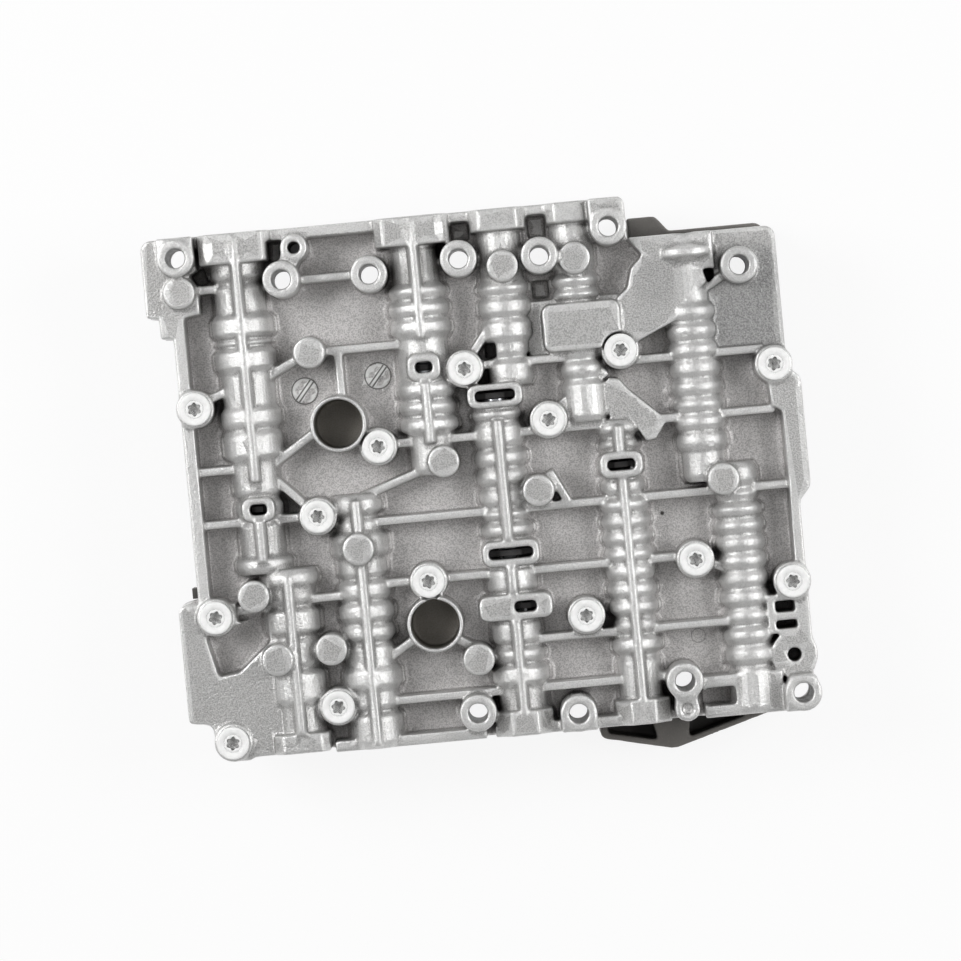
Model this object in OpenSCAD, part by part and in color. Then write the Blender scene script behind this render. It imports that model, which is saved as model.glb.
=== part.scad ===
// Hydraulic valve body of an automatic transmission: two die castings with a plate between them,
// spool valves with springs in the bores, solenoids and a moulded carrier on the rear.
// Lies on its rear, with the ribbed side up. X to the right, Y to the upper edge, Z up.

/* [Stack] */
// Room for solenoids and carrier under the lower casting
solenoid_space = 20; // [19:0.5:24]
// Thickness of the lower casting
lower_t = 9; // [8:0.5:14]
// Thickness of the separator plate
plate_t = 1.2; // [0.8:0.1:2]

/* [Upper casting] */
// Width of the castings
casting_w = 233; // [231:0.5:240]
// Edge that the upper row of bores opens on
top_y = 100; // [98:0.5:104]
// Edge that the lower row of bores opens on
bottom_y = -90; // [-94:0.5:-89]
// Thickness of the casting's floor
floor_t = 6; // [5:0.5:8]
// Height of the valve bores' axes above the plate
bore_h = 13; // [12.5:0.5:14]
// Height of the ribs above the plate
rib_h = 17; // [15:0.5:18]
// Thickness of the ribs
rib_t = 3; // [2:0.2:4]
// Height of the border and the raised flats
rim_h = 18.5; // [17:0.5:20]
// Height of the bolt seats
seat_h = 19.5; // [18:0.5:21]
// Height of the pads round the clip windows
window_h = 23; // [22:0.5:24]
// Height of the round blank pads
pad_h = 25.5; // [25:0.5:26.5]
// Radius of the round blank pads
pad_r = 5.75; // [5:0.25:6.5]
// Height of the fixing bosses, the mounting plane
boss_h = 27; // [26:0.5:30]
// Radius of the fixing bosses
boss_r = 6.7; // [6:0.1:7.5]
// Radius of the fixing holes
fix_r = 3.5; // [3:0.1:4]
// Extra radius of the fixing holes behind the upper casting
fix_room = 0.8; // [0.5:0.1:1.2]
// Depth of the grooves between two bulges of a hump
groove_d = 1.3; // [0.8:0.1:1.6]
// Length of a bulge's sloping flank
flank = 2.2; // [1.4:0.1:2.8]
// Width of the ridge along a hump, at its foot
ridge_w = 4.2; // [3.2:0.2:5]
// Width of the ridge's top
ridge_top = 2; // [1.2:0.1:2.4]
// Height of the ridge above the highest bulge
ridge_rise = 0.5; // [0.2:0.1:1]
// Inner radius of the two wells
well_r = 8.8; // [8:0.1:9.2]
// Wall of the two wells
well_wall = 1.4; // [1:0.1:2]
// Height of the wells' rims
well_h = 24; // [22:0.5:25]
// Floor under the wells
well_floor = 4; // [2:0.5:6]
// Floor left under the deep pockets
pocket_floor = 2; // [1.5:0.5:4]
// Width of the step round a hump's foot
foot_w = 1.2; // [0.6:0.1:1.6]
// Height of the step round a hump's foot
foot_h = 1.4; // [0.8:0.1:2]

/* [Valves] */
// Radius of the valve bores
bore_r = 5; // [4.6:0.1:5.2]
// Radial clearance of the spools
spool_clear = 0.1; // [0.1:0.01:0.15]
// Radius of the spools between their lands
spool_neck_r = 3; // [2.6:0.1:3.4]
// Travel of the spools
travel = 5; // [3:0.5:6]
// Rest gap between a spool and its stop
stop_gap = 0.3; // [0.2:0.05:0.5]
// Radius of the plug seats at the bore mouths
plug_r = 6.2; // [5.8:0.1:6.4]
// Depth of the plug seats
plug_t = 8; // [6:0.5:9]
// Radial clearance of the plugs
plug_clear = 0.03; // [0.02:0.01:0.06]
// Radius of the spring wire
wire_r = 0.55; // [0.4:0.05:0.65]
// Thickness of the retainer clips
clip_t = 2; // [1.6:0.1:2.4]
// Clearance of the clips in their slots
clip_clear = 0.3; // [0.2:0.05:0.5]

/* [Fasteners] */
// Radius of the housing bolts' shanks
bolt_r = 3; // [2.5:0.1:3.2]
// Radius of the bolts' pan heads
head_r = 5.9; // [5.5:0.1:6.2]
// Height of the bolt heads
head_t = 3.4; // [3:0.1:4.5]
// Radius of the recess in the bolt heads
recess_r = 2.7; // [2.2:0.1:3]
// Clearance of the bolts in the upper casting
bolt_clear = 0.3; // [0.2:0.05:0.5]
// Radius of the small screws
screw_r = 2; // [1.5:0.1:2.2]

/* [Rear] */
// Radius of the solenoid cans
can_r = 7.8; // [6:0.1:8]
// Length of the solenoid cans
can_len = 40; // [32:1:42]
// Gap between the cans and the lower casting
can_gap = 0.8; // [0.5:0.1:1.5]
// Radius of the solenoid noses
nose_r = 5.5; // [4.5:0.1:6]
// Depth of the solenoid sockets
socket_d = 7; // [5:0.5:8]
// Half width of the socket rail
rail_w = 9; // [8.5:0.5:12]
// Thickness of the solenoid straps
strap_t = 1.2; // [0.8:0.1:1.5]
// Wall of the moulded carrier
carrier_wall = 3; // [2:0.2:4]
// Height of the moulded carrier
carrier_h = 15; // [12:0.5:18]
// Radius of the check balls
ball_r = 3; // [2:0.1:3.2]
// Radius of the dowels
dowel_r = 2.5; // [2:0.1:3]
// Length of a dowel in each casting
dowel_len = 5; // [3:0.5:5.5]

/* [Hidden] */
$fn = 48;
parting_z = solenoid_space + lower_t + plate_t;
axis_z = parting_z + bore_h;
floor_z = parting_z + floor_t;
overlap = 1;
fit_clear = 0.02;
corner_steps = 4;

// Edges of the castings: outermost, stepped in beside the ears, and along the waist
right_ear_x = casting_w / 2;
left_ear_x = -right_ear_x;
right_x = right_ear_x - 4.5;
left_step_x = left_ear_x + 4.5;
left_flat_x = left_ear_x + 1.5;
left_foot_x = left_ear_x + 10;
waist_x = left_ear_x + 9;
top_right_y = top_y - 15;
bottom_left_y = bottom_y + 1;
tray_tip = bottom_y - 12.6;
// Places across the castings, read at drawn_w, follow the castings' width
drawn_w = 233;
function across(x) = x * (casting_w / drawn_w);
function spread(points) = [for (p = points) [across(p.x), p.y]];
function spread_corners(points) = [for (p = points) [across(p.x), p.y, p.z]];
step_x = across(58.5);
foot_in_x = across(-92);
flat_in_x = across(-94);

// Outline of the castings, corners as [x, y, corner radius]
OUTLINE = [[left_ear_x, top_y, 4], [step_x, top_y, 3], [step_x, top_right_y, 0], [right_x, top_right_y, 4],
    [right_x, 33, 2], [right_ear_x, 30, 5], [right_ear_x, -10, 5], [right_x, -15, 3], [right_x, bottom_y, 6],
    [across(-61), bottom_y, 0], [across(-62), bottom_left_y, 0], [foot_in_x, bottom_left_y, 2],
    [flat_in_x, bottom_y, 0], [left_foot_x + 1.5, bottom_y, 6], [left_foot_x, -76, 3], [left_flat_x, -75, 2],
    [left_flat_x, -32, 3], [waist_x, -31, 0], [waist_x, 64, 0], [left_step_x, 64, 1], [left_step_x, 71.5, 0],
    [left_ear_x, 72, 1]];

// Fixing holes, housing bolts and blank pads
FIXINGS = spread([[-103.5, 92.5], [-66.5, 81.5], [-35, 80.5], [-2.5, 83], [26.5, 81.5], [52, 89.5],
    [97.5, 71.5], [-10.5, -80], [25.5, -83.5], [64.5, -75.5], [106.5, -83.5]]);
BOLTS = spread([[-102, 38], [-4, 43.5], [52.5, 45], [107, 35], [24.5, 22.5], [-37.5, 18.5], [-61.5, -4.5],
    [-24, -31.5], [72.5, -32.5], [106.5, -43.5], [-101.5, -37.5], [31.5, -49], [-60.5, -73.5], [-99.5, -83]]);
PADS = spread([[-103.5, 80], [-59, 54.5], [13, 79], [39, 79.5], [-14.5, 11], [18.5, -2.5], [85, -4.5],
    [-48, -17.5], [-87, -31], [-80.5, -54.5], [-61, -52.5], [-8.5, -61]]);
WELLS = spread([[-51, 28], [-23, -47]]);
DOWELS = [[left_step_x, 85], [right_x, 5]];

// Valve humps: name, x, first y, then bulges and necks as [last y, radius], then the ridge's ends
HUMPS = [
    ["a", -82.5, 90, [[82, 9.6], [71, 9], [61.5, 11], [59, 10], [49.5, 11], [37.5, 9.3], [29, 10.8],
        [17.5, 10.6], [4, 8.6], [-4, 8.6], [-16.5, 8], [-23.5, 10]], [[98, 10], [-4, -19]]],
    ["b", -74.5, -22.5, [[-29.5, 10.5], [-36, 9], [-47, 9.8], [-58.5, 9], [-72, 9.8], [-81.5, 8.5],
        [bottom_left_y, 9.8]], [[-25, -82]]],
    ["c", -47.5, 2, [[-6, 9], [-11, 7.8], [-21, 10], [-28.5, 8.6], [-36.5, 9.4], [-44.5, 9.8],
        [-51.5, 9.6], [-60, 9], [-69, 10.3], [-76.5, 8.8], [bottom_y, 9.4]], [[0, -11], [-23, bottom_y + 1]]],
    ["d", -18.5, 90, [[76, 8.2], [70, 10.4], [63.5, 10.8], [56, 10.8], [41, 9], [34, 10.4], [28, 10.2],
        [21, 10.4], [6.5, 7.6]], [[98, 56], [40, 18]]],
    ["e", 12.5, 93, [[74, 7.6], [68.5, 9], [60.5, 9.2], [51.5, 9], [46, 7.2], [36, 8]], []],
    ["f", 6, 37, [[29, 8.4], [23.5, 8.8], [14, 8.8], [7, 9.2], [0, 9.2], [-7.5, 8.8], [-12.5, 8.6],
        [-19, 9.2], [-28.5, 8.6], [-39, 9], [-48, 8.8], [-57.5, 8.8], [-64, 9.4], [-72.5, 10.2],
        [-80.5, 8.5], [bottom_y, 10.2]], [[24, -19], [-29, -38], [-49, -83]]],
    ["g", 38.5, 93, [[74.5, 7.6], [69, 8.2], [64, 8.2], [43, 7.5], [36, 7.8], [20.5, 8]], []],
    ["h", 49, 20, [[14, 7.4], [8.5, 7], [-0.5, 7.4], [-7.5, 7.8], [-13.5, 8.8], [-19.5, 8.8], [-25.5, 8.8],
        [-31.5, 8.8], [-38, 8.8], [-44.5, 8.8], [-51, 8.8], [-57.5, 8], [-65, 8.8], [-81, 7.6],
        [bottom_y, 9]], [[18, 8], [-1, -85]]],
    ["i", 79, 84, [[81.5, 7.4], [74.5, 11.3], [60, 7.4], [53, 9], [46, 9], [39.5, 9], [32.5, 9], [26, 9],
        [20, 9], [13.5, 9], [6, 9], [-5, 7.4]], []],
    ["j", 89.5, 1, [[-8, 8], [-13, 7.6], [-19, 8.8], [-25, 8.8], [-31.5, 8.8], [-38, 8.8], [-44.5, 8.8],
        [-51.5, 8.8], [-58, 8], [-65, 8.8], [-72.5, 8.8], [bottom_y, 8.4]], []]];

// Bores: hump index, mouth y, blind end y
BORES = [[0, top_y, -2.6], [1, bottom_left_y, -25.6], [2, bottom_y, -1], [3, top_y, 8.5], [4, top_y, 38],
    [5, bottom_y, 35], [6, top_y, 23], [7, bottom_y, 6.6], [8, top_right_y, -2], [9, bottom_y, -4]];

// Clip windows: name, hump index, y, slot x shift and length, pad x shift and length, pad width in y
slot_w = 4;
window_corner = 3;
WINDOWS = [["d", 3, 45.5, 0, 6.2, 0, 12, 9.4], ["f_upper", 5, 33, 0, 14.4, 0, 20, 8.4],
    ["h", 7, 4, 0, 10, 0, 15.5, 9], ["a", 0, 0, 0, 6.2, 0, 12, 8.4],
    ["f_middle", 5, -24, 0.5, 16, 0.5, 20.5, 9], ["f_lower", 5, -43.5, 4, 8, 0.5, 26.5, 9]];

// Valves: name, hump index, y of the stop, y of the spring's seat, spring length
plug_nose = 3;
nose_y = plug_t + plug_nose;
VALVES = [
    ["a", 0, top_y - nose_y, WINDOWS[3][2] + clip_t / 2, 24],
    ["b", 1, bottom_left_y + nose_y, BORES[1][2], 15],
    ["c", 2, bottom_y + nose_y, BORES[2][2], 22],
    ["d_outer", 3, top_y - nose_y, WINDOWS[0][2] + clip_t / 2, 14],
    ["d_inner", 3, WINDOWS[0][2] - clip_t / 2, BORES[3][2], 13],
    ["e", 4, top_y - nose_y, BORES[4][2], 16],
    ["f_upper", 5, WINDOWS[1][2] - clip_t / 2, WINDOWS[4][2] + clip_t / 2, 18],
    ["f_lower", 5, bottom_y + nose_y, WINDOWS[5][2] - clip_t / 2, 12],
    ["g", 6, top_y - nose_y, BORES[6][2], 20],
    ["h", 7, bottom_y + nose_y, WINDOWS[2][2] - clip_t / 2, 24],
    ["i", 8, top_right_y - nose_y, BORES[8][2], 22],
    ["j", 9, bottom_y + nose_y, BORES[9][2], 20]];

function hump_x(i) = across(HUMPS[i][1]);
function unit(v) = v / norm(v);

// One corner of an outline, drawn as a short arc of the given radius
function corner(a, p, b, r) = r == 0 ? [p] :
    let (u = unit(a - p), w = unit(b - p), half = acos(u * w) / 2, centre = p + unit(u + w) * r / sin(half),
        start = p + u * r / tan(half) - centre, stop = p + w * r / tan(half) - centre,
        from = atan2(start.y, start.x), turn = (atan2(stop.y, stop.x) - from + 360 + 180) % 360 - 180)
    [for (i = [0 : corner_steps]) let (a = from + turn * i / corner_steps) centre + r * [cos(a), sin(a)]];
function flat2(p) = [p.x, p.y];
function rounded(points) = let (n = len(points))
    [for (i = [0 : n - 1])
        let (before = points[(i + n - 1) % n], here = points[i], after = points[(i + 1) % n])
        each corner(flat2(before), flat2(here), flat2(after), here[2])];

module rounded_box(x, y, w, d, r) {
    a = w / 2;
    b = d / 2;
    translate([x, y]) polygon(rounded([[-a, -b, r], [a, -b, r], [a, b, r], [-a, b, r]]));
}

// Straight bar between two points, seen from above
module bar(a, b, w) {
    along = b - a;
    translate(a) rotate(atan2(along.y, along.x)) translate([0, -w / 2]) square([norm(along), w]);
}

// Raises a plan shape to a height above the plate; each plan is rooted at its own level inside the floor
root_first = 1;
root_step = 0.2;
module raise(h, level) {
    root = root_first + level * root_step;
    translate([0, 0, floor_z - root]) linear_extrude(h - floor_t + root) children();
}

module place(points, z) {
    for (p = points) translate([p.x, p.y, z]) children();
}

// Half section of a hump: bulges with sloping flanks, grooves between bulges of like size
flank_share = 0.42;
function meet_r(a, b) = abs(a - b) > groove_d ? min(a, b) : min(a, b) - groove_d;
function hump_half(h) = let (s = h[3], n = len(s))
    [for (i = [0 : n - 1]) let (y0 = i == 0 ? h[2] : s[i - 1][0], y1 = s[i][0], r = s[i][1],
        slope = min(flank, (y0 - y1) * flank_share),
        r0 = i == 0 ? r - groove_d : meet_r(s[i - 1][1], r),
        r1 = i == n - 1 ? r - groove_d : meet_r(r, s[i + 1][1]))
        each concat(i == 0 ? [[r0, y0]] : [],
            r0 < r ? [[r, y0 - slope]] : [],
            r1 < r ? [[r, y1 + slope]] : [],
            [[r1, y1]])];

ridge_slope = 1.8;
module hump_plan(half, grow) {
    right = [for (p = half) [p.x + grow, p.y]];
    left = [for (i = [len(half) - 1 : -1 : 0]) [-half[i].x - grow, half[i].y]];
    polygon(concat(right, left));
}

module hump(h) {
    x = across(h[1]);
    half = hump_half(h);
    n = len(half);
    down = [for (p = half) [p.x, -p.y]];
    top_r = max([for (s = h[3]) s[1]]);
    translate([x, 0, floor_z - overlap]) linear_extrude(axis_z - floor_z + overlap) hump_plan(half, 0);
    translate([x, 0, 0]) raise(floor_t + foot_h, foot_level) hump_plan(half, foot_w);
    translate([x, 0, axis_z]) rotate([90, 0, 0])
        rotate_extrude(angle = 180) polygon(concat(down, [[0, down[n - 1].y], [0, down[0].y]]));
    crest = top_r + ridge_rise;
    for (r = h[4]) translate([x, r[0], axis_z]) rotate([90, 0, 0]) linear_extrude(r[0] - r[1])
        polygon([[-ridge_w / 2, 0], [ridge_w / 2, 0], [ridge_w / 2, crest - ridge_slope],
            [ridge_top / 2, crest], [-ridge_top / 2, crest], [-ridge_w / 2, crest - ridge_slope]]);
}

// Squared block at a bore's mouth: x, y0, y1, half width, height above the axis, chamfer
top_chamfer = 3;
low_chamfer = 5.6;
MOUTHS = [[-82.5, 89, top_y, 13, 11, top_chamfer], [-18.5, 89.5, top_y, 13.4, 10.8, top_chamfer],
    [12.5, 92, top_y, 10, 9.5, top_chamfer], [38, 92.5, top_y, 7.8, 9, top_chamfer],
    [-74.5, bottom_left_y, -82, 10, 9.6, top_chamfer], [6, bottom_y, -81, 10.4, 10.3, low_chamfer],
    [49, bottom_y, -81, 10, 9.4, low_chamfer]];
module mouth(m) {
    w = m[3];
    h = m[4];
    c = m[5];
    low = floor_z - axis_z - overlap;
    translate([across(m[0]), m[2], axis_z]) rotate([90, 0, 0]) linear_extrude(m[2] - m[1])
        polygon([[-w, low], [w, low], [w, h - c], [w - c, h], [c - w, h], [-w, h - c]]);
}

top_lip = 4.2;
edge_w = 4;
ear_in_x = across(-97);
strip_x = waist_x + 4.5;
rim_x = right_ear_x - 8;
corner_x = across(96.5);
module border_plan() {
    polygon(rounded([[left_ear_x, top_y, 4], [ear_in_x, top_y, 0], [ear_in_x, 72, 0], [strip_x, 71, 0],
        [strip_x, -33, 0], [waist_x, -33, 0], [waist_x, 64, 0], [left_step_x, 64, 1], [left_step_x, 71.5, 0],
        [left_ear_x, 72, 1]]));
    translate([ear_in_x - overlap, top_y - top_lip]) square([hump_x(6) - ear_in_x + top_lip, top_lip]);
    polygon(rounded([[rim_x - 4.5, 33, 3], [right_x, 33, 2], [right_ear_x, 30, 5], [right_ear_x, -10, 5],
        [right_x, -15, 3], [right_x, -40, 0], [right_x - edge_w, -40, 0], [rim_x, -12, 1], [rim_x, 18, 1],
        [rim_x - 3.5, 20, 1]]));
    translate([across(-63), bottom_y]) square([across(55), edge_w]);
    translate([across(-5), bottom_y]) square([across(60), edge_w]);
    translate(BLIND_HOLE) circle(r = blind_boss_r);
    translate([BLIND_HOLE.x, -76]) square([right_x - BLIND_HOLE.x, 20]);
    translate([corner_x, -62]) square([right_x - corner_x, 14]);
    translate([right_x - edge_w, -62]) square([edge_w, 24]);
}

module left_flat_plan() {
    difference() {
        polygon(rounded([[left_flat_x, -32, 3], [flat_in_x, -33, 0], [flat_in_x, -40, 0],
            [across(-75), -40, 0], [across(-75), bottom_left_y, 0], [foot_in_x, bottom_left_y, 2],
            [flat_in_x, bottom_y, 0], [left_foot_x + 1.5, bottom_y, 6], [left_foot_x, -76, 3],
            [left_flat_x, -75, 2]]));
        polygon(rounded(spread_corners([[-106, -44, 1.5], [-83, -38, 1], [-83, -48, 1], [-95, -58, 2],
            [-102.5, -59, 1.5]])));
    }
}

module right_block_plan() {
    polygon(rounded(concat([[step_x, top_right_y, 0]], spread_corners([[89, top_right_y, 0], [89, 71.5, 0],
        [85, 66, 1], [77, 60.5, 0], [73.5, 54, 1], [59, 47.5, 1], [53, 49, 0], [53, 64, 1], [57, 67, 1],
        [59, 74, 1], [63.5, 78.5, 1]]))));
}

foot_level = 16;
right_flat_h = 15;
ledge_h = 12;
plate_pad_h = 22;
bottom_flat_h = 19.6;

// Ribs as pairs of end points
RIBS = [[[-61, 81], [-40, 81]], [[-59, 54.5], [-25, 54.5]], [[-49, 54], [-49, 37]], [[-63, 53], [-78, 46]],
    [[-97, 41], [-88, 44]], [[-104, 15], [-88, 15]], [[-104, -4.3], [-65, -4.3]], [[-77, 15], [-58, 27]],
    [[-75, 9.5], [-64, -2]], [[-33, 19], [-18, 19]], [[-14, 19], [106, 19]], [[-45, 1], [-18, 10]],
    [[-44, -8.5], [109, -8.5]], [[23, 4], [28.5, -7]], [[-42, -31], [72, -31]], [[77, -34], [84, -37]],
    [[-68, -34], [-55, -34]], [[-98, -36], [-78, -35.5]], [[10, -56], [108, -56]], [[-31, -52], [-42, -58.5]],
    [[-16, -53], [-8, -58]], [[-42, -73.5], [60, -73.5]], [[8.5, 60.5], [-2, 47]], [[28, 26.5], [47, 38]],
    [[3, 44.3], [40, 44.3]], [[52, 41], [104, 41]], [[82, 63], [93, 69]], [[-99, 80.5], [-90, 80.5]],
    [[16, 80.5], [36, 80.5]]];
module rib_plan() {
    for (r = RIBS, ends = [spread(r)]) bar(ends[0], ends[1], rib_t);
    polygon(spread([[44, 32], [47.5, 35.5], [51, 35], [54, 31], [65.5, 20], [47, 20]]));
    polygon(spread([[55, 18.5], [67, 18.5], [62.5, 12], [59, 11.5]]));
}

// Bore with galleries behind the bulges and a plug seat at its mouth
wall_t = 2.4;
gallery_in = 1.4;
slot_z = axis_z - bore_r - 1;
function in_bore(y, b) = y < max(b[1], b[2]) - plug_t - 4 && y > min(b[1], b[2]) + plug_t + 4;
function galleries(b) = let (h = HUMPS[b[0]], s = h[3])
    [for (i = [1 : len(s) - 1]) let (y0 = s[i - 1][0] - gallery_in, y1 = s[i][0] + gallery_in)
        if (y0 - y1 > 2 && s[i][1] - wall_t > bore_r + 1 && in_bore(y0, b) && in_bore(y1, b))
            [y0, y1, s[i][1] - wall_t]];
function bore_half(b) = let (top = b[1] > b[2])
    concat(top ? [[plug_r, b[1] + 1], [plug_r, b[1] - plug_t], [bore_r, b[1] - plug_t]] : [[bore_r, b[2]]],
        [for (g = galleries(b)) each [[bore_r, g[0]], [g[2], g[0]], [g[2], g[1]], [bore_r, g[1]]]],
        top ? [[bore_r, b[2]]] : [[bore_r, b[1] + plug_t], [plug_r, b[1] + plug_t], [plug_r, b[1] - 1]]);
module bore(b) {
    down = [for (p = bore_half(b)) [p.x, -p.y]];
    translate([hump_x(b[0]), 0, axis_z]) rotate([90, 0, 0])
        rotate_extrude() polygon(concat(down, [[0, down[len(down) - 1].y], [0, down[0].y]]));
}
module bore_ports(b) {
    for (g = galleries(b)) translate([hump_x(b[0]) - bore_r / 2, g[1] + 0.5, parting_z - 1])
        cube([bore_r, g[0] - g[1] - 1, bore_h]);
}

module window_slot(w) {
    rounded_box(hump_x(w[1]) + w[3], w[2], w[4], slot_w, 1.5);
}

// Tabs that tie fixing bosses to the edges, the small lobes and the deep pockets
tab_drop = 0.6;
seat_rim = 1;
seat_room = 0.7;
NEAR_TOP = [across(-61), 92.5];
near_top_r = 4.9;
near_top_hole = 2.2;
LOBE = [across(64.5), -85.5];
lobe_r = 4.5;
dimple_r = 2.2;
dimple_d = 2;
BLIND_HOLE = [across(105), -70];
blind_r = 2.5;
blind_boss_r = 8.5;
POCKETS = [[[-100, 86], [-95, 89], [-93.5, 83], [-97.5, 82]],
    [[-71, 88.5], [-66.2, 88.5], [-66.2, 96], [-71, 96]],
    [[-4.6, 90], [2, 90], [2, 96.5], [-4.6, 96.5]], [[23.2, 88.6], [29.8, 88.6], [29.8, 96.5], [23.2, 96.5]],
    [[4, 46.5], [8, 46.5], [8, 52], [4, 52]], [[84.5, 71.5], [88.6, 71.5], [88.6, 68], [86, 66]],
    [[23, 66.5], [29, 66.5], [29, 73], [23, 73]], [[99.4, -60.4], [107, -60.4], [107, -57.4], [99.4, -57.4]],
    [[99.6, -54.4], [106.6, -54.4], [106.6, -50.4], [99.6, -50.4]]];
module tab_plan() {
    translate([left_ear_x + 6.5, 92]) square([13, top_y - 92]);
    left = across(45.4);
    polygon(rounded([[left, 89, 0], [step_x, 89, 0], [step_x, top_y, 3], [left, top_y, 0]]));
    polygon(rounded([[across(99.8), -83, 0], [across(99.8), bottom_y, 0], [right_x, bottom_y, 6],
        [right_x, -77, 2], [across(102), -77, 2]]));
    translate([across(19), bottom_y]) square([13, 6.5]);
    translate(LOBE) circle(r = lobe_r);
    bar([LOBE.x, -84], [LOBE.x, -76], 8);
}
module right_flat_plan() {
    in_x = across(104);
    polygon(rounded([[across(88), top_right_y, 0], [right_x, top_right_y, 4], [right_x, 33, 0], [in_x, 33, 0],
        [in_x, 43, 1], [across(85), 43, 0], [across(85), 63, 0], [across(88), 66.5, 0]]));
}
module bottom_flat_plan() {
    difference() {
        translate([across(71), bottom_y]) square([across(29), 15]);
        rounded_box(across(77), -82.5, 11, 6.5, 1);
    }
}

// Round date marks on the floor, left blank
MARKS = spread([[-62.5, 41], [-35.6, 44]]);
mark_r = 4.8;
mark_rise = 0.4;
mark_bar = 1.4;
mark_turn = 50;
level_gap = 0.1;
block_rise = 1.5;
stalk_w = 7;
module upper_solid() {
    translate([0, 0, parting_z]) linear_extrude(floor_t) polygon(rounded(OUTLINE));
    raise(rim_h, 0) border_plan();
    raise(rim_h - level_gap, 1) left_flat_plan();
    raise(rim_h + block_rise, 2) right_block_plan();
    raise(right_flat_h, 3) right_flat_plan();
    raise(ledge_h, 4) translate([across(20), 46]) square([across(34), 19.5]);
    raise(plate_pad_h, 5) rounded_box(across(39.5), 55, 28, 17, 3);
    raise(bottom_flat_h, 6) bottom_flat_plan();
    raise(rib_h, 7) rib_plan();
    for (h = HUMPS) hump(h);
    for (m = MOUTHS) mouth(m);
    raise(pad_h, 8) for (p = PADS) translate(p) circle(r = pad_r);
    raise(boss_h, 9) for (p = FIXINGS) translate(p) circle(r = boss_r);
    raise(boss_h - tab_drop, 10) tab_plan();
    raise(seat_h, 11) for (p = BOLTS) translate(p) circle(r = head_r + seat_rim);
    raise(well_h, 12) for (p = WELLS) translate(p) circle(r = well_r + well_wall);
    raise(pad_h - tab_drop, 13) translate(NEAR_TOP) circle(r = near_top_r);
    raise(pad_h - 2 * tab_drop, 14) bar(NEAR_TOP, FIXINGS[1], stalk_w);
    for (w = WINDOWS) raise(window_h, 15)
        rounded_box(hump_x(w[1]) + w[5], w[2], w[6], w[7], window_corner);
    raise(floor_t + mark_rise, 17) for (p = MARKS) translate(p) circle(r = mark_r);
    raise(floor_t + 2 * mark_rise, 18) for (p = MARKS) translate(p) rotate(mark_turn)
        square([2 * mark_r - mark_bar, mark_bar], true);
}

module upper_valve_housing() {
    color("silver") difference() {
        upper_solid();
        for (b = BORES) bore(b);
        for (b = BORES) bore_ports(b);
        translate([0, 0, slot_z]) linear_extrude(boss_h) for (w = WINDOWS) window_slot(w);
        place(FIXINGS, parting_z - 1) cylinder(r = fix_r, h = boss_h + 2);
        place(BOLTS, parting_z - 1) cylinder(r = bolt_r + bolt_clear, h = boss_h + 2);
        place(BOLTS, parting_z + seat_h) cylinder(r = head_r + seat_room, h = boss_h);
        place(WELLS, parting_z + well_floor) cylinder(r = well_r, h = boss_h);
        place([NEAR_TOP], parting_z - 1) cylinder(r = near_top_hole, h = boss_h + 2);
        place([LOBE], parting_z + boss_h - dimple_d) cylinder(r = dimple_r, h = boss_h);
        place([BLIND_HOLE], floor_z) cylinder(r = blind_r, h = boss_h);
        place(DOWELS, parting_z - 1) cylinder(r = dowel_r + fit_clear, h = dowel_len + dowel_room + 1);
        translate([0, 0, parting_z + pocket_floor]) linear_extrude(boss_h)
            for (k = POCKETS) polygon(spread(k));
    }
}

// Places on the rear: solenoid rows, strap screws, feet, check balls and carrier screws
SOLENOID_X = [for (x = [-88, -58, -28, 2]) across(x)];
STRAP_X = [for (x = [-73, -43, -13]) across(x)];
STRAP_ENDS = [across(-97), across(11)];
BALLS = spread([[-66, 35], [-30, 60], [30, -20], [70, 10], [-40, -60], [90, -60]]);
arm_w = 7;
can_z = solenoid_space - can_gap - can_r;
flange_t = 2;
nose_len = 5;
can_y = rail_w + nose_len;
connector_len = 4;
arm_y = can_y + flange_t + can_len + connector_len + stop_gap;
strap_y = can_y + flange_t + can_len / 2;
strap_w = 10;
strap_z = can_z - can_r - stop_gap - strap_t;
screw_head_r = 3.6;
screw_head_t = 1.8;
screw_grip = 6;
post_r = 4;
loose = 0.2;
arm_mid = arm_y + arm_w / 2;
CARRIER_SCREWS = concat(spread([[42, 55], [42, -50], [104, 45], [104, -30], [72, 5], [84, -82]]),
    [[STRAP_X[0], arm_mid], [STRAP_X[0], -arm_mid]]);
STRAP_SCREWS = [for (x = STRAP_X) for (s = [-1, 1]) [x, s * strap_y]];
LUG = [waist_x + 2, -18.5];
lug_r = 3.5;
port_r = 1.2;
dowel_room = 0.5;
boss_drop = 3;
boss_bite = 1.6;
post_bite = 1.4;
lug_inset = 2;
nose_clear = 0.1;
thread_end = 2;
ball_play = 0.4;
ball_gap = 0.35;

module separator_plate() {
    color("slategray") translate([0, 0, parting_z - plate_t]) linear_extrude(plate_t) difference() {
        polygon(rounded(OUTLINE));
        for (p = FIXINGS) translate(p) circle(r = fix_r + fix_room);
        for (p = BOLTS) translate(p) circle(r = bolt_r + bolt_clear);
        for (p = DOWELS) translate(p) circle(r = dowel_r + loose);
        for (b = BORES) for (g = galleries(b))
            translate([hump_x(b[0]), (g[0] + g[1]) / 2]) circle(r = port_r);
    }
}

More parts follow.
